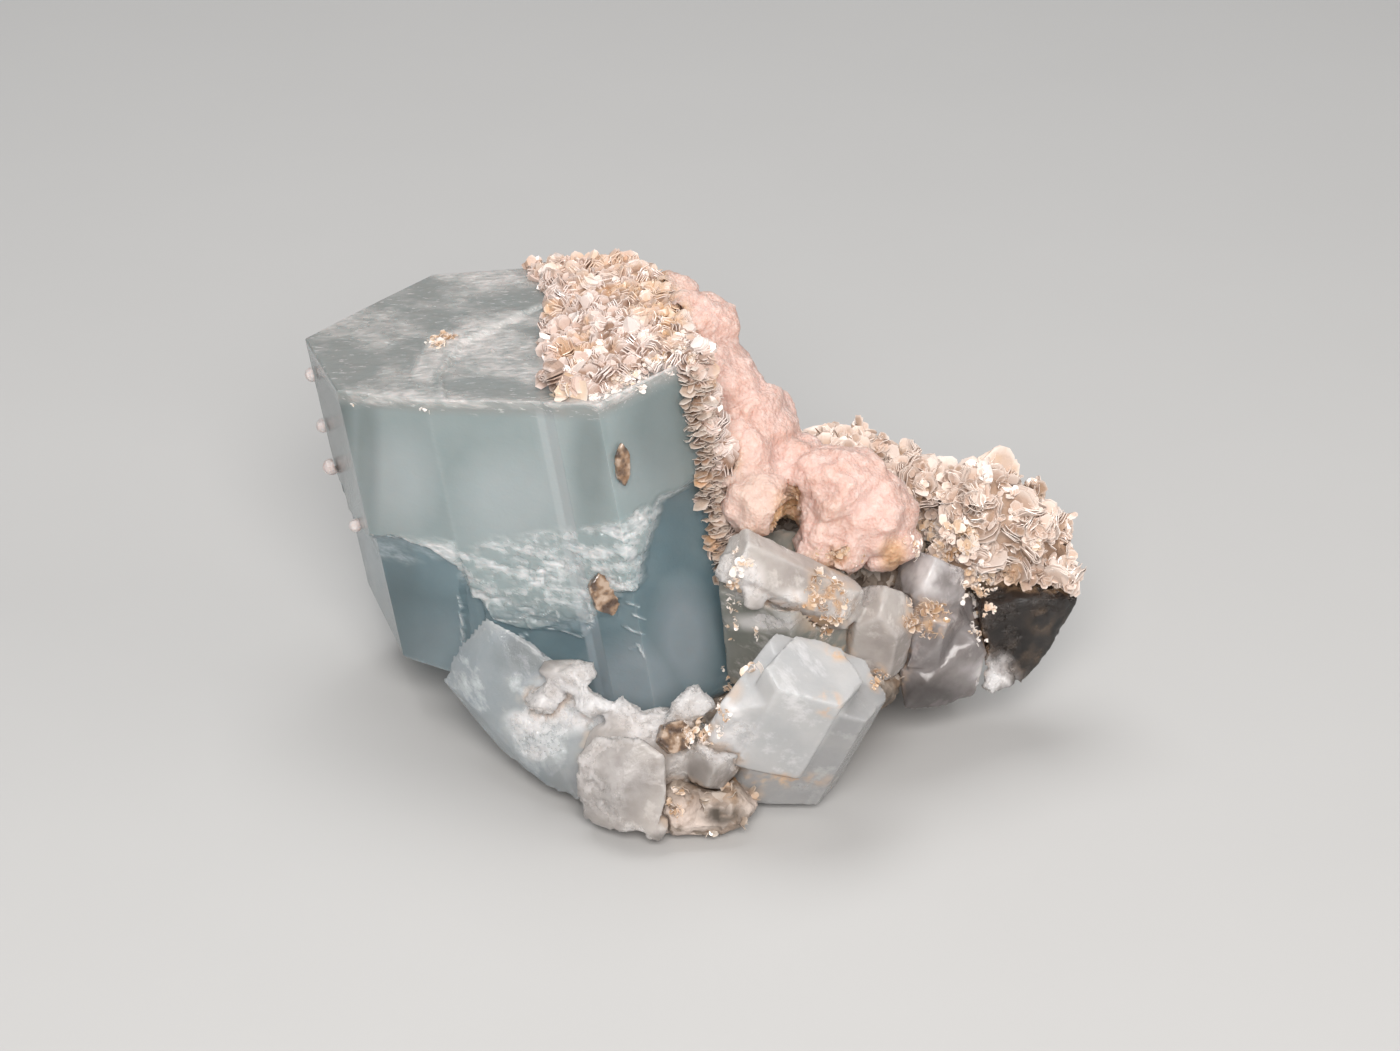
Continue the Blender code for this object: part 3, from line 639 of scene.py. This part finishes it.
def pink_apatite(name, deep, pink, pale):
    """Sugary pink grains with paler middles, partly their own tone and partly painted light on
    their tops, honey-stained in places.
    """
    m = Nodes(name)
    grain = m.voronoi(1.3)
    cloud = m.noise(9.0, 4.0)
    tint = m.mix(m.ramp(cloud, 0.35, 0.65), deep, pink)
    # paler grain middles: partly their own tone, partly painted light on the tops
    tint = m.mix(m.ramp(grain, 0.1, 0.8, 0.5, 0.0), tint, pale)
    tint = m.mix(m.times(m.mask("cream"), 0.7), tint, (0.66, 0.5, 0.42))
    rust = m.mix(m.noise(2.0, 6.0), (0.24, 0.12, 0.06), (0.95, 0.58, 0.32))
    tint = m.mix(m.mask("stain"), tint, rust)
    m.set(Base_Color=tint, Roughness=m.ramp(m.noise(1.0), 0.3, 0.7, 0.3, 0.55), IOR=1.63)
    m.milky(0.55, (1.0, 0.75, 0.65))
    m.bump(m.math("ADD", m.voronoi(0.6), m.noise(0.5, 7.0, 0.65)), 0.2)
    return m.material


def mica_flakes(name, light, middle, dark, stained):
    """Pearly mica: each flake has its own tone, a painted highlight on its rims, and some places
    are rusty.
    """
    m = Nodes(name)
    tone = m.mask("tone")
    tint = m.mix(m.ramp(tone, 0.0, 0.5), dark, middle)
    tint = m.mix(m.ramp(tone, 0.5, 0.9), tint, light)
    # painted highlight: the rim mask lightens the flakes' rims
    tint = m.mix(m.ramp(m.mask("rim"), 0.4, 1.0, 0.0, 0.55), tint, light)
    rust = m.math("MAXIMUM", m.ramp(m.noise(8.0, 4.0), 0.56, 0.68, 0.0, 0.7),
                  m.times(m.mask("rust"), m.ramp(m.noise(2.5), 0.35, 0.6)))
    tint = m.mix(rust, tint, stained)
    m.set(Base_Color=tint, IOR=1.6, Roughness=m.ramp(m.noise(0.8), 0.3, 0.7, 0.2, 0.42),
          Coat_Weight=0.6, Coat_Roughness=0.14)
    m.bump(m.noise(0.35, 5.0), 0.02)
    return m.material


def rough_rock():
    """Granular pegmatite: feldspar, quartz grains, mica specks and rusty seams."""
    m = Nodes("pegmatite")
    grains = m.voronoi(1.3, "Color")
    level = m.node("SeparateColor", {"Color": grains}).outputs[0]
    tint = m.mix(level, (0.16, 0.12, 0.09), (0.42, 0.35, 0.29))
    tint = m.mix(m.ramp(m.noise(5.0, 6.0), 0.5, 0.66, 0.0, 0.8), tint, (0.13, 0.09, 0.065))
    tint = m.mix(m.ramp(m.noise(9.0, 5.0), 0.56, 0.7, 0.0, 0.7), tint, (0.42, 0.25, 0.13))
    tint = m.mix(m.ramp(level, 0.72, 0.8, 0.0, 0.6), tint, (0.54, 0.48, 0.43))
    pale = m.mix(m.noise(1.5, 5.0), (0.36, 0.28, 0.23), (0.8, 0.7, 0.64))
    patchy = m.ramp(m.noise(3.5, 5.0), 0.38, 0.48)
    tint = m.mix(m.times(m.mask("pale"), patchy), tint, pale)
    # painted shade: the dark mask darkens the rock
    tint = m.mix(m.times(m.mask("dark"), 0.95), tint, (0.05, 0.04, 0.03))
    m.set(Base_Color=tint, Roughness=m.ramp(level, 0.0, 1.0, 0.55, 0.9))
    m.bump(m.math("ADD", m.voronoi(1.1), m.noise(0.6, 8.0)), 0.22)
    return m.material


# ---- the main crystal ----
def main_frame():
    """The main crystal's origin and its x, y and z directions, in mm."""
    turn = (Matrix.Rotation(-MAIN_LEAN_BACK, 3, "X")
            @ Matrix.Rotation(-MAIN_LEAN_LEFT, 3, "Y"))
    return np.array(MAIN_CORNER), np.array(turn)


def inset_corners(distance):
    """The basal face's corners moved inward by distance."""
    points = np.array(MAIN_OUTLINE)
    way = np.roll(points, -1, axis=0) - points
    after = np.column_stack((-way[:, 1], way[:, 0])) / np.hypot(*way.T)[:, None]
    before = np.roll(after, 1, axis=0)
    return points + (before + after) * distance / (1.0 + (before * after).sum(axis=1))[:, None]


def perimeter():
    """Edge number and share along it for each point round the prism."""
    edges, shares = [], []
    points = np.array(MAIN_OUTLINE)
    for edge, way in enumerate(np.roll(points, -1, axis=0) - points):
        length = np.hypot(*way)
        steps = max(3, round(length / (FACE_STEP if edge in MAIN_FINE_EDGES else BACK_STEP)))
        round_off = min(0.3 / length, 0.2)
        edges += [edge] * (steps + 1)
        shares += [0.0, *np.linspace(round_off, 1.0 - round_off, steps)]
    return np.array(edges), np.array(shares)


def prism_points(edges, shares, depth):
    """Points on the prism's sides, each moved inward by its own depth."""
    outer, inner = inset_corners(0.0), inset_corners(1.0)
    start, end = (outer[corner] + (inner - outer)[corner] * depth[:, None]
                  for corner in (edges, (edges + 1) % len(outer)))
    return start + (end - start) * shares[:, None]


def side_relief(world, flat_z, edges, shares):
    """How far each point of the sides lies inside the cap's own face, and its masks."""
    x, y = to_pixels(world)
    layered = world * (0.5, 0.5, 1.6)
    ragged = fractal(layered, 3.2, 5, 3.0)
    facing = world[:, 1] < DISPLAY_SIDE
    softness = np.where((x > 600.0) & (y < 600.0), 16.0, 2.5)
    on_front = soft_inside(CAP_OUTLINE, x + 3.0 * ragged, y + 5.0 * ragged, softness)
    on_back = unit(0.5 + (flat_z + BACK_CAP + 2.5 * ragged) / 0.6)
    cap = np.where(facing, on_front, on_back)
    etched = soft_inside(ETCHED_ZONE, x + 8.0 * ragged, y + 4.0 * ragged + 4.0, 10.0) * facing
    etched = np.maximum(etched, 0.8 * ~facing * unit(1.0 - np.abs(flat_z + 30.0) / 4.0))
    wisps = fractal(layered, 3.6, 6, 8.0)
    fine = fractal(world, 1.3, 5, 12.0)
    blotch = fractal(world * (0.8, 0.8, 1.2), 2.2, 6, 21.0)
    shelves = np.round(fractal(layered, 6.0, 3, 5.0) * 5.0) / 5.0
    bevel = 1.0 - soft_inside(CAP_OUTLINE, x, y, 50.0) * facing
    hollow = np.clip(0.85 * bevel + 0.6 * shelves + 0.4 * fine + 0.5 * blotch, 0.0, 1.25)
    depth = (1.0 - cap) * BODY_INSET
    depth = depth * (1.0 - etched) + etched * hollow
    depth += soft_inside(LEFT_BLOCK_EDGE, x, y, 5.0) * facing * 1.1
    depth += 0.03 * fractal(world, 4.0, 3, 5.0)
    frost = etched * np.clip(0.42 + 0.8 * wisps + 0.8 * blotch + 0.7 * fine, 0.0, 0.85)
    glassy = facing * unit((y - CLEAR_CHIP_FROM) / 16.0)
    frost *= 1.0 - 0.65 * glassy
    for outline, strength in FROST_PATCHES:
        patch = soft_inside(outline, x + 4.0 * ragged, y + 4.0 * ragged, 6.0)
        frost = np.maximum(frost, strength * facing * patch * unit(0.8 + wisps))
    for line in CRACKS:
        near = unit(1.4 - line_distance(line, x + 2.0 * ragged, y) / 1.2) * facing
        depth -= 0.14 * near
        frost = np.maximum(frost, near * np.clip(0.7 + fine, 0.0, 0.9))
    corner = np.minimum(shares, 1.0 - shares)
    frost = np.maximum(frost, 0.05 * unit(1.0 - corner * 25.0))
    ledge = unit(1.0 - np.abs(cap - 0.5) * 2.2)
    strip = (edges == STRIP_FACE) | (edges == STRIP_FACE - 1) & (shares > 0.93)
    # painted sheen on the strip face, brighter than its neighbours; the patches are partly
    # milkiness, partly painted sheen
    milk_and_sheen = np.maximum(patches(world, MILK_AND_SHEEN_PATCHES), 0.9 * strip * facing)
    return depth, cap * (1.0 - 0.3 * glassy), np.maximum(frost, 0.6 * ledge), milk_and_sheen


def top_relief(world):
    """Height of the top face at each point, and its frost."""
    x, y = to_pixels(world)
    lower = soft_inside(LOWER_TOP, x, y, 3.0)
    level = np.column_stack((x * 0.4, y * 2.0, np.zeros(len(x)))) / PIXELS_PER_MM
    rough = fractal(level, 1.2, 5, 1.0)
    patchy = fractal(level * (1.6, 1.0, 1.0), 8.0, 6, 6.0)
    terrace = np.round(patchy * 4.0) / 4.0
    height = -0.7 * lower + 0.05 * rough + 0.12 * terrace
    frost = np.clip(0.4 + 0.15 * rough + 1.0 * patchy - 0.15 * lower, 0.0, 0.8)
    step_rim = unit(1.0 - np.abs(lower - 0.5) * 2.0)
    frost = np.maximum(frost, 0.5 * step_rim)
    for outline, strength in FROST_PATCHES:
        frost = np.maximum(frost, strength * soft_inside(outline, x, y, 9.0))
    return height, frost


def make_main_crystal():
    """The prism as rings from the middle of its top down its sides and under its base."""
    origin, turn = main_frame()
    edges, shares = perimeter()
    around = len(edges)
    flat = np.zeros(around)
    rim = prism_points(edges, shares, flat)
    middle = rim.mean(axis=0)
    rings = []
    masks = {name: [] for name in MAIN_MASKS}

    def world_of(plan, z):
        return origin + np.column_stack((plan, z)) @ turn.T

    def keep(ring, cap, frost, milk_and_sheen, top):
        rings.append(ring)
        # painted shade on the sides only, never on the top
        shade = patches(ring, PAINTED_SHADE_PATCHES) * (1.0 - top)
        for name, value in zip(MAIN_MASKS, (cap, frost, milk_and_sheen, top, shade)):
            masks[name].append(np.broadcast_to(value, around))

    for ring in range(1, TOP_RINGS + 1):
        share = ring / TOP_RINGS
        plan = middle + (prism_points(edges, shares, flat + 0.3) - middle) * share
        height, frost = top_relief(world_of(plan, flat))
        near_rim = min(1.0, (1.0 - share) * TOP_RINGS / 3.0)
        keep(world_of(plan, height * near_rim), 1.0, frost, 0.0, 1.0)
    foot = (origin[2] + (rim @ turn.T[:2])[:, 2] - MAIN_BOTTOM) / turn[2, 2]
    for share in SIDE_SHARES:
        z = -0.3 - (foot - 0.3) * share
        depth, cap, frost, milk_and_sheen = side_relief(world_of(rim, z), z, edges, shares)
        worn = unit((share - 0.965) / 0.035)
        depth = depth + 1.6 * worn ** 2
        keep(world_of(prism_points(edges, shares, depth), z), cap,
             np.maximum(frost, 0.6 * worn), milk_and_sheen, unit(1.0 + (z + 1.5) / 1.5))
    under_plan = prism_points(edges, shares, flat + BODY_INSET + 2.2)
    under_middle = under_plan.mean(axis=0)
    for share in (1.0, 0.85, 0.65, 0.45, 0.25, 0.1):
        plan = under_middle + (under_plan - under_middle) * share
        world = world_of(plan, -foot)
        world[:, 2] = MAIN_BOTTOM + 0.35 * fractal(world, 5.0, 4, 9.0)
        keep(world, 0.0, 0.7, 0.0, 0.0)
    first = world_of(middle[None], np.zeros(1))
    last = rings[-1].mean(axis=0)[None]
    return build_rings("main_crystal", [first, *rings, last], around, masks)


def build_rings(name, points, around, masks):
    """Join rings of points, with a fan at each end."""
    faces = []
    count = len(points) - 2
    last = 1 + count * around
    for place in range(around):
        step = (place + 1) % around
        faces.append((0, 1 + place, 1 + step))
        faces.append((last, last - around + step, last - around + place))
        for ring in range(count - 1):
            low, high = 1 + ring * around, 1 + (ring + 1) * around
            faces.append((low + place, high + place, high + step, low + step))
    obj = new_mesh_object(name, np.vstack(points), faces)
    write_masks(obj, **{mask: np.concatenate((values[0][:1], *values, values[-1][:1]))
                        for mask, values in masks.items()})
    return obj


# ---- the other crystals ----
BERYL_IOR, QUARTZ_IOR = 1.57, 1.545
CRYSTAL_LOOKS = {  # two colours, IOR, clearness, roughness, absorption and density, veil
    "pale_beryl": ((0.68, 0.69, 0.7), (0.79, 0.79, 0.79), BERYL_IOR, 0.4, 0.1,
        (0.78, 0.9, 0.9), 8.0, (0.8, 0.8, 0.81)),
    "greenish_beryl": ((0.46, 0.48, 0.43), (0.6, 0.6, 0.55), BERYL_IOR, 0.6, 0.08,
        (0.76, 0.88, 0.82), 10.0, (0.82, 0.78, 0.76)),
    "icy_quartz": ((0.6, 0.67, 0.71), (0.75, 0.8, 0.82), QUARTZ_IOR, 0.64, 0.06,
        (0.84, 0.93, 0.95), 4.0, (0.8, 0.82, 0.83)),
    "milky_quartz": ((0.58, 0.53, 0.5), (0.8, 0.75, 0.71), QUARTZ_IOR, 0.45, 0.1,
        (0.9, 0.86, 0.82), 8.0, (0.82, 0.78, 0.76)),
    "grey_quartz": ((0.4, 0.36, 0.35), (0.7, 0.66, 0.66), QUARTZ_IOR, 0.55, 0.08,
        (0.8, 0.74, 0.7), 20.0, (0.66, 0.61, 0.61)),
    "smoky": ((0.03, 0.02, 0.015), (0.09, 0.06, 0.045), QUARTZ_IOR, 0.7, 0.06,
        (0.62, 0.44, 0.32), 60.0, (0.22, 0.17, 0.14))}
CRYSTALS = (  # piece, node, slot, look, voxel, roughness and relief of its broken places
    ("small_crystals", "aquamarine_small", "pale_aquamarine", "pale_beryl", 0.34, 0.28, 0.35),
    ("side_crystal", "aquamarine_side", "pale_aquamarine", "greenish_beryl", 0.45, 0.3, 0.5),
    ("quartz_wedge", "quartz_shard", "quartz", "icy_quartz", 0.35, 0.4, 0.6),
    ("quartz_crystal_bar", "quartz_bar", "quartz", "milky_quartz", 0.35, 0.5, 0.5),
    ("front_quartz", "quartz_front", "quartz", "milky_quartz", 0.35, 0.57, 0.8),
    ("right_quartz", "quartz_right", "quartz", "grey_quartz", 0.35, 0.35, 0.6),
    ("smoky_crystal", "smoky_quartz", "smoky_quartz", "smoky", 0.35, 0.55, 0.9))


def make_crystals():
    looks = {name: clear_crystal(name, *look) for name, look in CRYSTAL_LOOKS.items()}
    for seed, (name, node, slot, look, voxel, rough, relief) in enumerate(CRYSTALS):
        obj = worn_crystal(name, node, voxel, rough, relief, 3.0 * seed)
        finish_piece(obj, looks[look], [node])


APATITE_HOLLOWS = (
    ((787, 484), (799, 487), (794, 506), (799, 524), (792, 536), (769, 534), (776, 517),
     (785, 506)),
    ((830, 549), (846, 551), (843, 565), (832, 563)))
CREAM_PATCHES = ((755, 500, 30, 40, 1.0), (700, 425, 20, 24, 0.5), (668, 285, 22, 14, 0.8),
                 (830, 520, 16, 24, 0.4))


def make_apatite():
    """Lobes covered in tilted sugary grains."""
    obj = skin("pink_apatite", "apatite_mass", APATITE_VOXEL)
    points, normals = read_points(obj), read_normals(obj)
    rise = 1.1 * (0.3 - cells(points, 4.6, 1.0) ** 2) + 0.45 * (0.3 - cells(points, 2.2, 6.0) ** 2)
    for size, height, shift in ((3.0, 0.24, 4.0), (1.0, 0.2, 7.0)):
        rise += height * facets(points, size, shift, 0.8)
    x, y = to_pixels(points)
    ragged = fractal(points, 1.4, 4, 8.0)
    hollow = np.zeros(len(points))
    for outline in APATITE_HOLLOWS:
        near = soft_inside(outline, x + 6.0 * ragged, y - 6.0 * ragged, 7.0)
        hollow = np.maximum(hollow, near * (points[:, 1] < 20.0))
    rise += 0.35 * fractal(points, 6.0, 4, 3.0) - hollow * (1.4 + 0.9 * ragged)
    points += normals * rise[:, None]
    write_points(obj, points)
    mottle = unit(0.5 + 1.3 * fractal(points, 4.0, 4, 2.0))
    seam = near_others(points, "apatite_mass", 2.2) * mottle
    marks = patches(points, STAIN_PATCHES)
    write_masks(obj, stain=np.maximum(0.8 * seam, np.maximum(marks, hollow)),
                cream=patches(points, CREAM_PATCHES))
    pink = pink_apatite("apatite", (0.64, 0.41, 0.34), (0.72, 0.49, 0.43), (0.8, 0.65, 0.6))
    finish_piece(obj, pink, ["apatite_mass"])


def mica_ground(name, node, voxel, depth, seed, thinnest=20.0):
    """The sunken ground between the flakes of a mica crust, less deep where it is thin, in the
    mica's darkest tone as painted shade between the flakes.
    """
    ground = skin(name, node, voxel)
    points, normals = read_points(ground), read_normals(ground)
    solid = search_tree([node])
    start = 0.7
    room = np.array([solid.ray_cast(Vector(p - start * n), Vector(-n), 10.0)[3] or 0.0
                     for p, n in zip(points, normals)])
    least = np.maximum(0.45 * (start + room), thinnest)
    sink = np.minimum(depth + 0.4 * fractal(points, 2.0, 4, seed), least)
    write_points(ground, points - normals * sink[:, None])
    # darkest tone and no rim: painted shade between the flakes
    write_masks(ground, tone=np.zeros(len(points)), rim=np.zeros(len(points)))
    return ground


def make_crust(name, node, mica, ground, seed, columns, rows):
    """A mica crust: its ground and rows of rosettes. A row gives their spacing, seed, random
    turn, sizes, sunken share, leaves, lean, tones and plates."""
    whole = skin(f"{name}_whole", node, CRUST_VOXEL)
    places = [sites(whole, node, *row[:2]) for row in rows]
    bpy.data.objects.remove(whole)
    finish_piece(mica_ground(f"{name}_ground", node, *ground), mica)
    leaves = Leaves(seed, columns)
    pick = leaves.random.uniform
    for found, (_, _, shake, sizes, sink, count, lean, tones, *plates) in zip(places, rows):
        for place, normal in found:
            axis = shaken(normal, shake, pick)
            size = pick(*sizes)
            leaves.rosette(place - normal * size * sink, axis, size, count, lean,
                           pick(*tones), *plates)
    finish_leaves(leaves, f"{name}_leaves", mica, [node])


def make_crest():
    """The mica crust on the main crystal's shoulder: rosettes of upright blades."""
    mica = mica_flakes("crest_mica", (0.88, 0.79, 0.75), (0.68, 0.52, 0.45), (0.35, 0.23, 0.17),
                       (0.7, 0.46, 0.27))
    make_crust("crest", "muscovite_crest", mica, (1.0, 2.0, 3.0, 0.0), 5, SMALL_LEAF,
               ((2.8, 11, 0.8, (2.6, 4.2), 0.6, 4, 0.9, (0.2, 0.8), 0.24, 4),
                (1.9, 12, 0.5, (1.8, 3.0), 0.6, 2, 0.6, (0.0, 0.9), 0.16)))


def make_fringe():
    """Leaves stacked like pages down the main crystal's right edge."""
    origin, turn = main_frame()
    corner, before = np.array(MAIN_OUTLINE[1]), np.array(MAIN_OUTLINE[0])
    along = (corner - before) / np.hypot(*(corner - before))
    out = np.array((along[1], -along[0]))
    leaves = Leaves(6)
    pick = leaves.random.uniform
    axis = Vector(turn[:, 2])
    for sheet in range(FRINGE_SHEETS):
        depth = -1.0 - FRINGE_LENGTH * (sheet + pick(0.0, 1.0)) / FRINGE_SHEETS
        plan = corner + along * pick(-1.6, 2.6) + out * pick(-0.5, 1.0)
        base = Vector(origin + turn @ np.array((*plan, depth)))
        reach = Vector(turn[:, :2] @ (out * pick(0.4, 1.0) - along * pick(0.1, 1.0)))
        up = (reach.normalized() + axis * pick(-0.25, 0.45)).normalized()
        across = shaken(axis.cross(up).normalized(), 0.3, pick)
        across = (across - up * across.dot(up)).normalized()
        length = pick(2.0, 4.2)
        leaves.add(base, up, across, length, length * pick(0.45, 0.9), pick(-0.35, 0.35), 0.12,
                   pick(0.0, 0.8))
    mica = mica_flakes("fringe_mica", (0.84, 0.77, 0.71), (0.61, 0.48, 0.39), (0.34, 0.21, 0.14),
                       (0.68, 0.4, 0.2))
    finish_leaves(leaves, "fringe_leaves", mica)


def make_rosettes():
    """The right end: big rosettes of stacked curved books, with small ones between."""
    mica = mica_flakes("rosette_mica", (0.92, 0.83, 0.77), (0.73, 0.57, 0.48), (0.44, 0.31, 0.23),
                       (0.6, 0.42, 0.28))
    make_crust("rosette", "muscovite_rosettes", mica, (0.8, 2.0, 5.0), 8, WIDE_LEAF,
               ((5.2, 12, 0.6, (4.2, 6.4), 0.7, 5, 1.1, (0.2, 0.7), 0.2, 4),
                (2.3, 13, 0.7, (1.6, 3.0), 0.75, 5, 1.2, (0.1, 0.8), 0.12)))


def make_rock():
    """The matrix: lumps roughened at three scales, with mica scales on it."""
    rock = skin("matrix", "matrix_rock", ROCK_VOXEL)
    places = sites(rock, "matrix_rock", 4.6, 14)
    points, normals = read_points(rock), read_normals(rock)
    lumps = 0.5 * fractal(points, 9.0, 5, 1.0) + 0.7 * facets(points, 4.0, 2.0, 0.5)
    lumps += 0.35 * facets(points, 1.9, 5.0, 0.5)
    flat = unit((points[:, 2] - 0.3) / 1.5)
    points += normals * ((lumps - 0.2) * flat)[:, None]
    points[:, 2] = np.maximum(points[:, 2], 0.0)
    write_points(rock, points)
    ragged = unit(0.75 + 1.6 * fractal(points, 2.6, 5, 4.0))
    # the dark mask is painted shade, made ragged by noise
    write_masks(rock, dark=patches(points, DEEP_SHADE_PATCHES) * ragged,
                pale=patches(points, PALE_ROCK) * (points[:, 1] < 0.0))
    finish_piece(rock, rough_rock(), ["matrix_rock"])
    leaves = Leaves(9, SMALL_LEAF)
    pick = leaves.random.uniform
    for place, normal in places:
        axis = shaken(normal, 0.8, pick)
        leaves.rosette(place - normal * 0.6, axis, pick(1.2, 2.4), 4, 1.0, pick(0.1, 0.8))
    mica = mica_flakes("rock_mica", (0.66, 0.58, 0.5), (0.36, 0.28, 0.22), (0.16, 0.11, 0.08),
                       (0.5, 0.31, 0.18))
    finish_leaves(leaves, "rock_mica_scales", mica)


CRUMB_PATCHES = (  # centre, half width and height, clusters, leaf size, tone
    (825, 605, 22, 36, 40, 1.1, 0.3), (925, 618, 24, 18, 34, 1.2, 0.25),
    (878, 680, 9, 14, 10, 0.8, 0.3), (702, 733, 20, 12, 26, 1.0, 0.7),
    (980, 600, 18, 44, 50, 1.0, 0.9), (840, 556, 30, 10, 16, 0.9, 0.3),
    (742, 560, 12, 12, 8, 1.1, 0.8), (733, 600, 7, 40, 16, 0.9, 0.7),
    (725, 700, 8, 40, 14, 0.8, 0.6), (679, 800, 12, 20, 10, 1.1, 0.5),
    (940, 540, 36, 16, 40, 1.4, 0.6),
    (444, 341, 17, 6, 26, 1.3, 0.45), (424, 409, 1, 1, 1, 1.4, 1.0), (353, 404, 1, 1, 1, 0.9, 0.9),
    (568, 386, 12, 16, 7, 3.0, 0.75), (605, 392, 16, 10, 34, 0.9, 1.0),
    (632, 380, 16, 11, 40, 0.9, 1.0), (660, 366, 16, 10, 36, 0.9, 0.95),
    (684, 354, 12, 10, 24, 0.9, 0.85), (760, 630, 10, 8, 3, 1.2, 0.95),
    (752, 668, 3, 3, 2, 1.7, 0.8), (1040, 545, 3, 3, 2, 2.2, 1.0), (985, 476, 4, 3, 2, 2.2, 1.0))


def make_crumbs():
    """Clusters of small flakes in the seams, each standing on the piece that carries it."""
    leaves = Leaves(10, SMALL_LEAF)
    pick = leaves.random.uniform
    for x, y, wide, high, clusters, size, tone in CRUMB_PATCHES:
        for _ in range(clusters):
            turn, away = pick(0.0, tau), pick(0.0, 1.0) ** 0.5
            point, normal = spot(x + wide * away * cos(turn), y + high * away * sin(turn))
            if point is None:
                continue
            axis = shaken(normal, 0.8, pick)
            flake = size * pick(0.5, 1.6)
            leaves.rosette(point - normal * flake * 0.3, axis, flake, 4, 1.2,
                           tone + pick(-0.4, 0.3), 0.09)
    mica = mica_flakes("seam_mica", (0.92, 0.86, 0.82), (0.76, 0.58, 0.42), (0.42, 0.26, 0.15),
                       (0.72, 0.48, 0.28))
    finish_leaves(leaves, "seam_flakes", mica)


def make_small_pieces():
    """Apatite buttons on the left edge, and the three brown mica books."""
    shell = pink_apatite("button_apatite", (0.66, 0.55, 0.53), (0.74, 0.62, 0.6),
                         (0.84, 0.76, 0.74))
    for number in range(1, 5):
        node = f"apatite_button_{number}"
        finish_piece(skin(f"button_{number}", node, 0.15), shell, [node])
    brown = mica_flakes("brown_mica", (0.44, 0.33, 0.25), (0.25, 0.16, 0.1),
                        (0.08, 0.05, 0.035), (0.32, 0.18, 0.09))
    for place in ("brown", "side", "front"):
        node = f"mica_book_{place}"
        obj = skin(f"book_{place}", node, BOOK_VOXEL)
        points = read_points(obj)
        points += read_normals(obj) * (0.14 * fractal(points, 1.2, 4, 2.0))[:, None]
        write_points(obj, points)
        # the rim mask is a painted highlight on the books' sharp edges
        write_masks(obj, tone=0.4 + 1.2 * fractal(points, 1.5, 4, 6.0),
                    rim=sharpness(obj, BOOK_VOXEL) * 0.5)
        finish_piece(obj, brown, [node])


# ---- stage ----
def make_stage():
    bpy.ops.mesh.primitive_plane_add(size=6.0, location=(0.0, 0.0, -0.0002))
    floor = bpy.context.active_object
    floor.name = "studio_floor"
    m = Nodes("floor_paper")
    tint = m.mix(m.noise(60.0, 3.0), (0.49, 0.49, 0.485), (0.51, 0.51, 0.505))
    m.set(Base_Color=tint, Roughness=0.85)
    floor.data.materials.append(m.material)


def add_light(name, place, target, size, watts, colour=(1.0, 1.0, 1.0)):
    light = bpy.data.lights.new(name, "AREA")
    light.shape = "RECTANGLE"
    light.size, light.size_y = size
    light.energy = watts
    light.color = colour
    obj = add_object(name, light)
    obj.location = place
    way = Vector(target) - Vector(place)
    obj.rotation_euler = way.to_track_quat("-Z", "Y").to_euler()


def make_lights():
    middle = (0.0, 0.0, 0.04)
    warm = (1.0, 0.96, 0.93)
    add_light("key_softbox", (0.02, -0.72, 0.62), middle, (0.5, 0.4), 10.0, warm)
    add_light("right_softbox", (0.85, -0.15, 0.45), middle, (0.5, 0.6), 1.6, warm)
    add_light("top_softbox", (-0.1, 0.3, 0.85), middle, (0.6, 0.5), 4.0)
    world = bpy.data.worlds.new("studio")
    world.use_nodes = True
    background = world.node_tree.nodes["Background"]
    background.inputs["Color"].default_value = (0.92, 0.93, 0.95, 1.0)
    background.inputs["Strength"].default_value = 0.2
    bpy.context.scene.world = world
    bpy.context.scene.view_settings.view_transform = "Standard"


def make_camera():
    data = bpy.data.cameras.new("photo_view")
    data.lens = LENS
    data.sensor_width = SENSOR
    data.clip_start = 0.01
    camera = add_object("photo_view", data)
    camera.location = Vector(VIEW_PLACE) * MM
    camera.rotation_euler = (pi / 2 - VIEW_HEIGHT, 0.0, 0.0)
    bpy.context.scene.camera = camera


WHOLE = search_tree(list(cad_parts))


def main():
    make_camera()
    make_lights()
    make_stage()
    finish_piece(make_main_crystal(), main_beryl(), ["aquamarine_main"])
    make_crystals()
    make_apatite()
    make_crest()
    make_fringe()
    make_rosettes()
    make_rock()
    make_crumbs()
    make_small_pieces()


main()
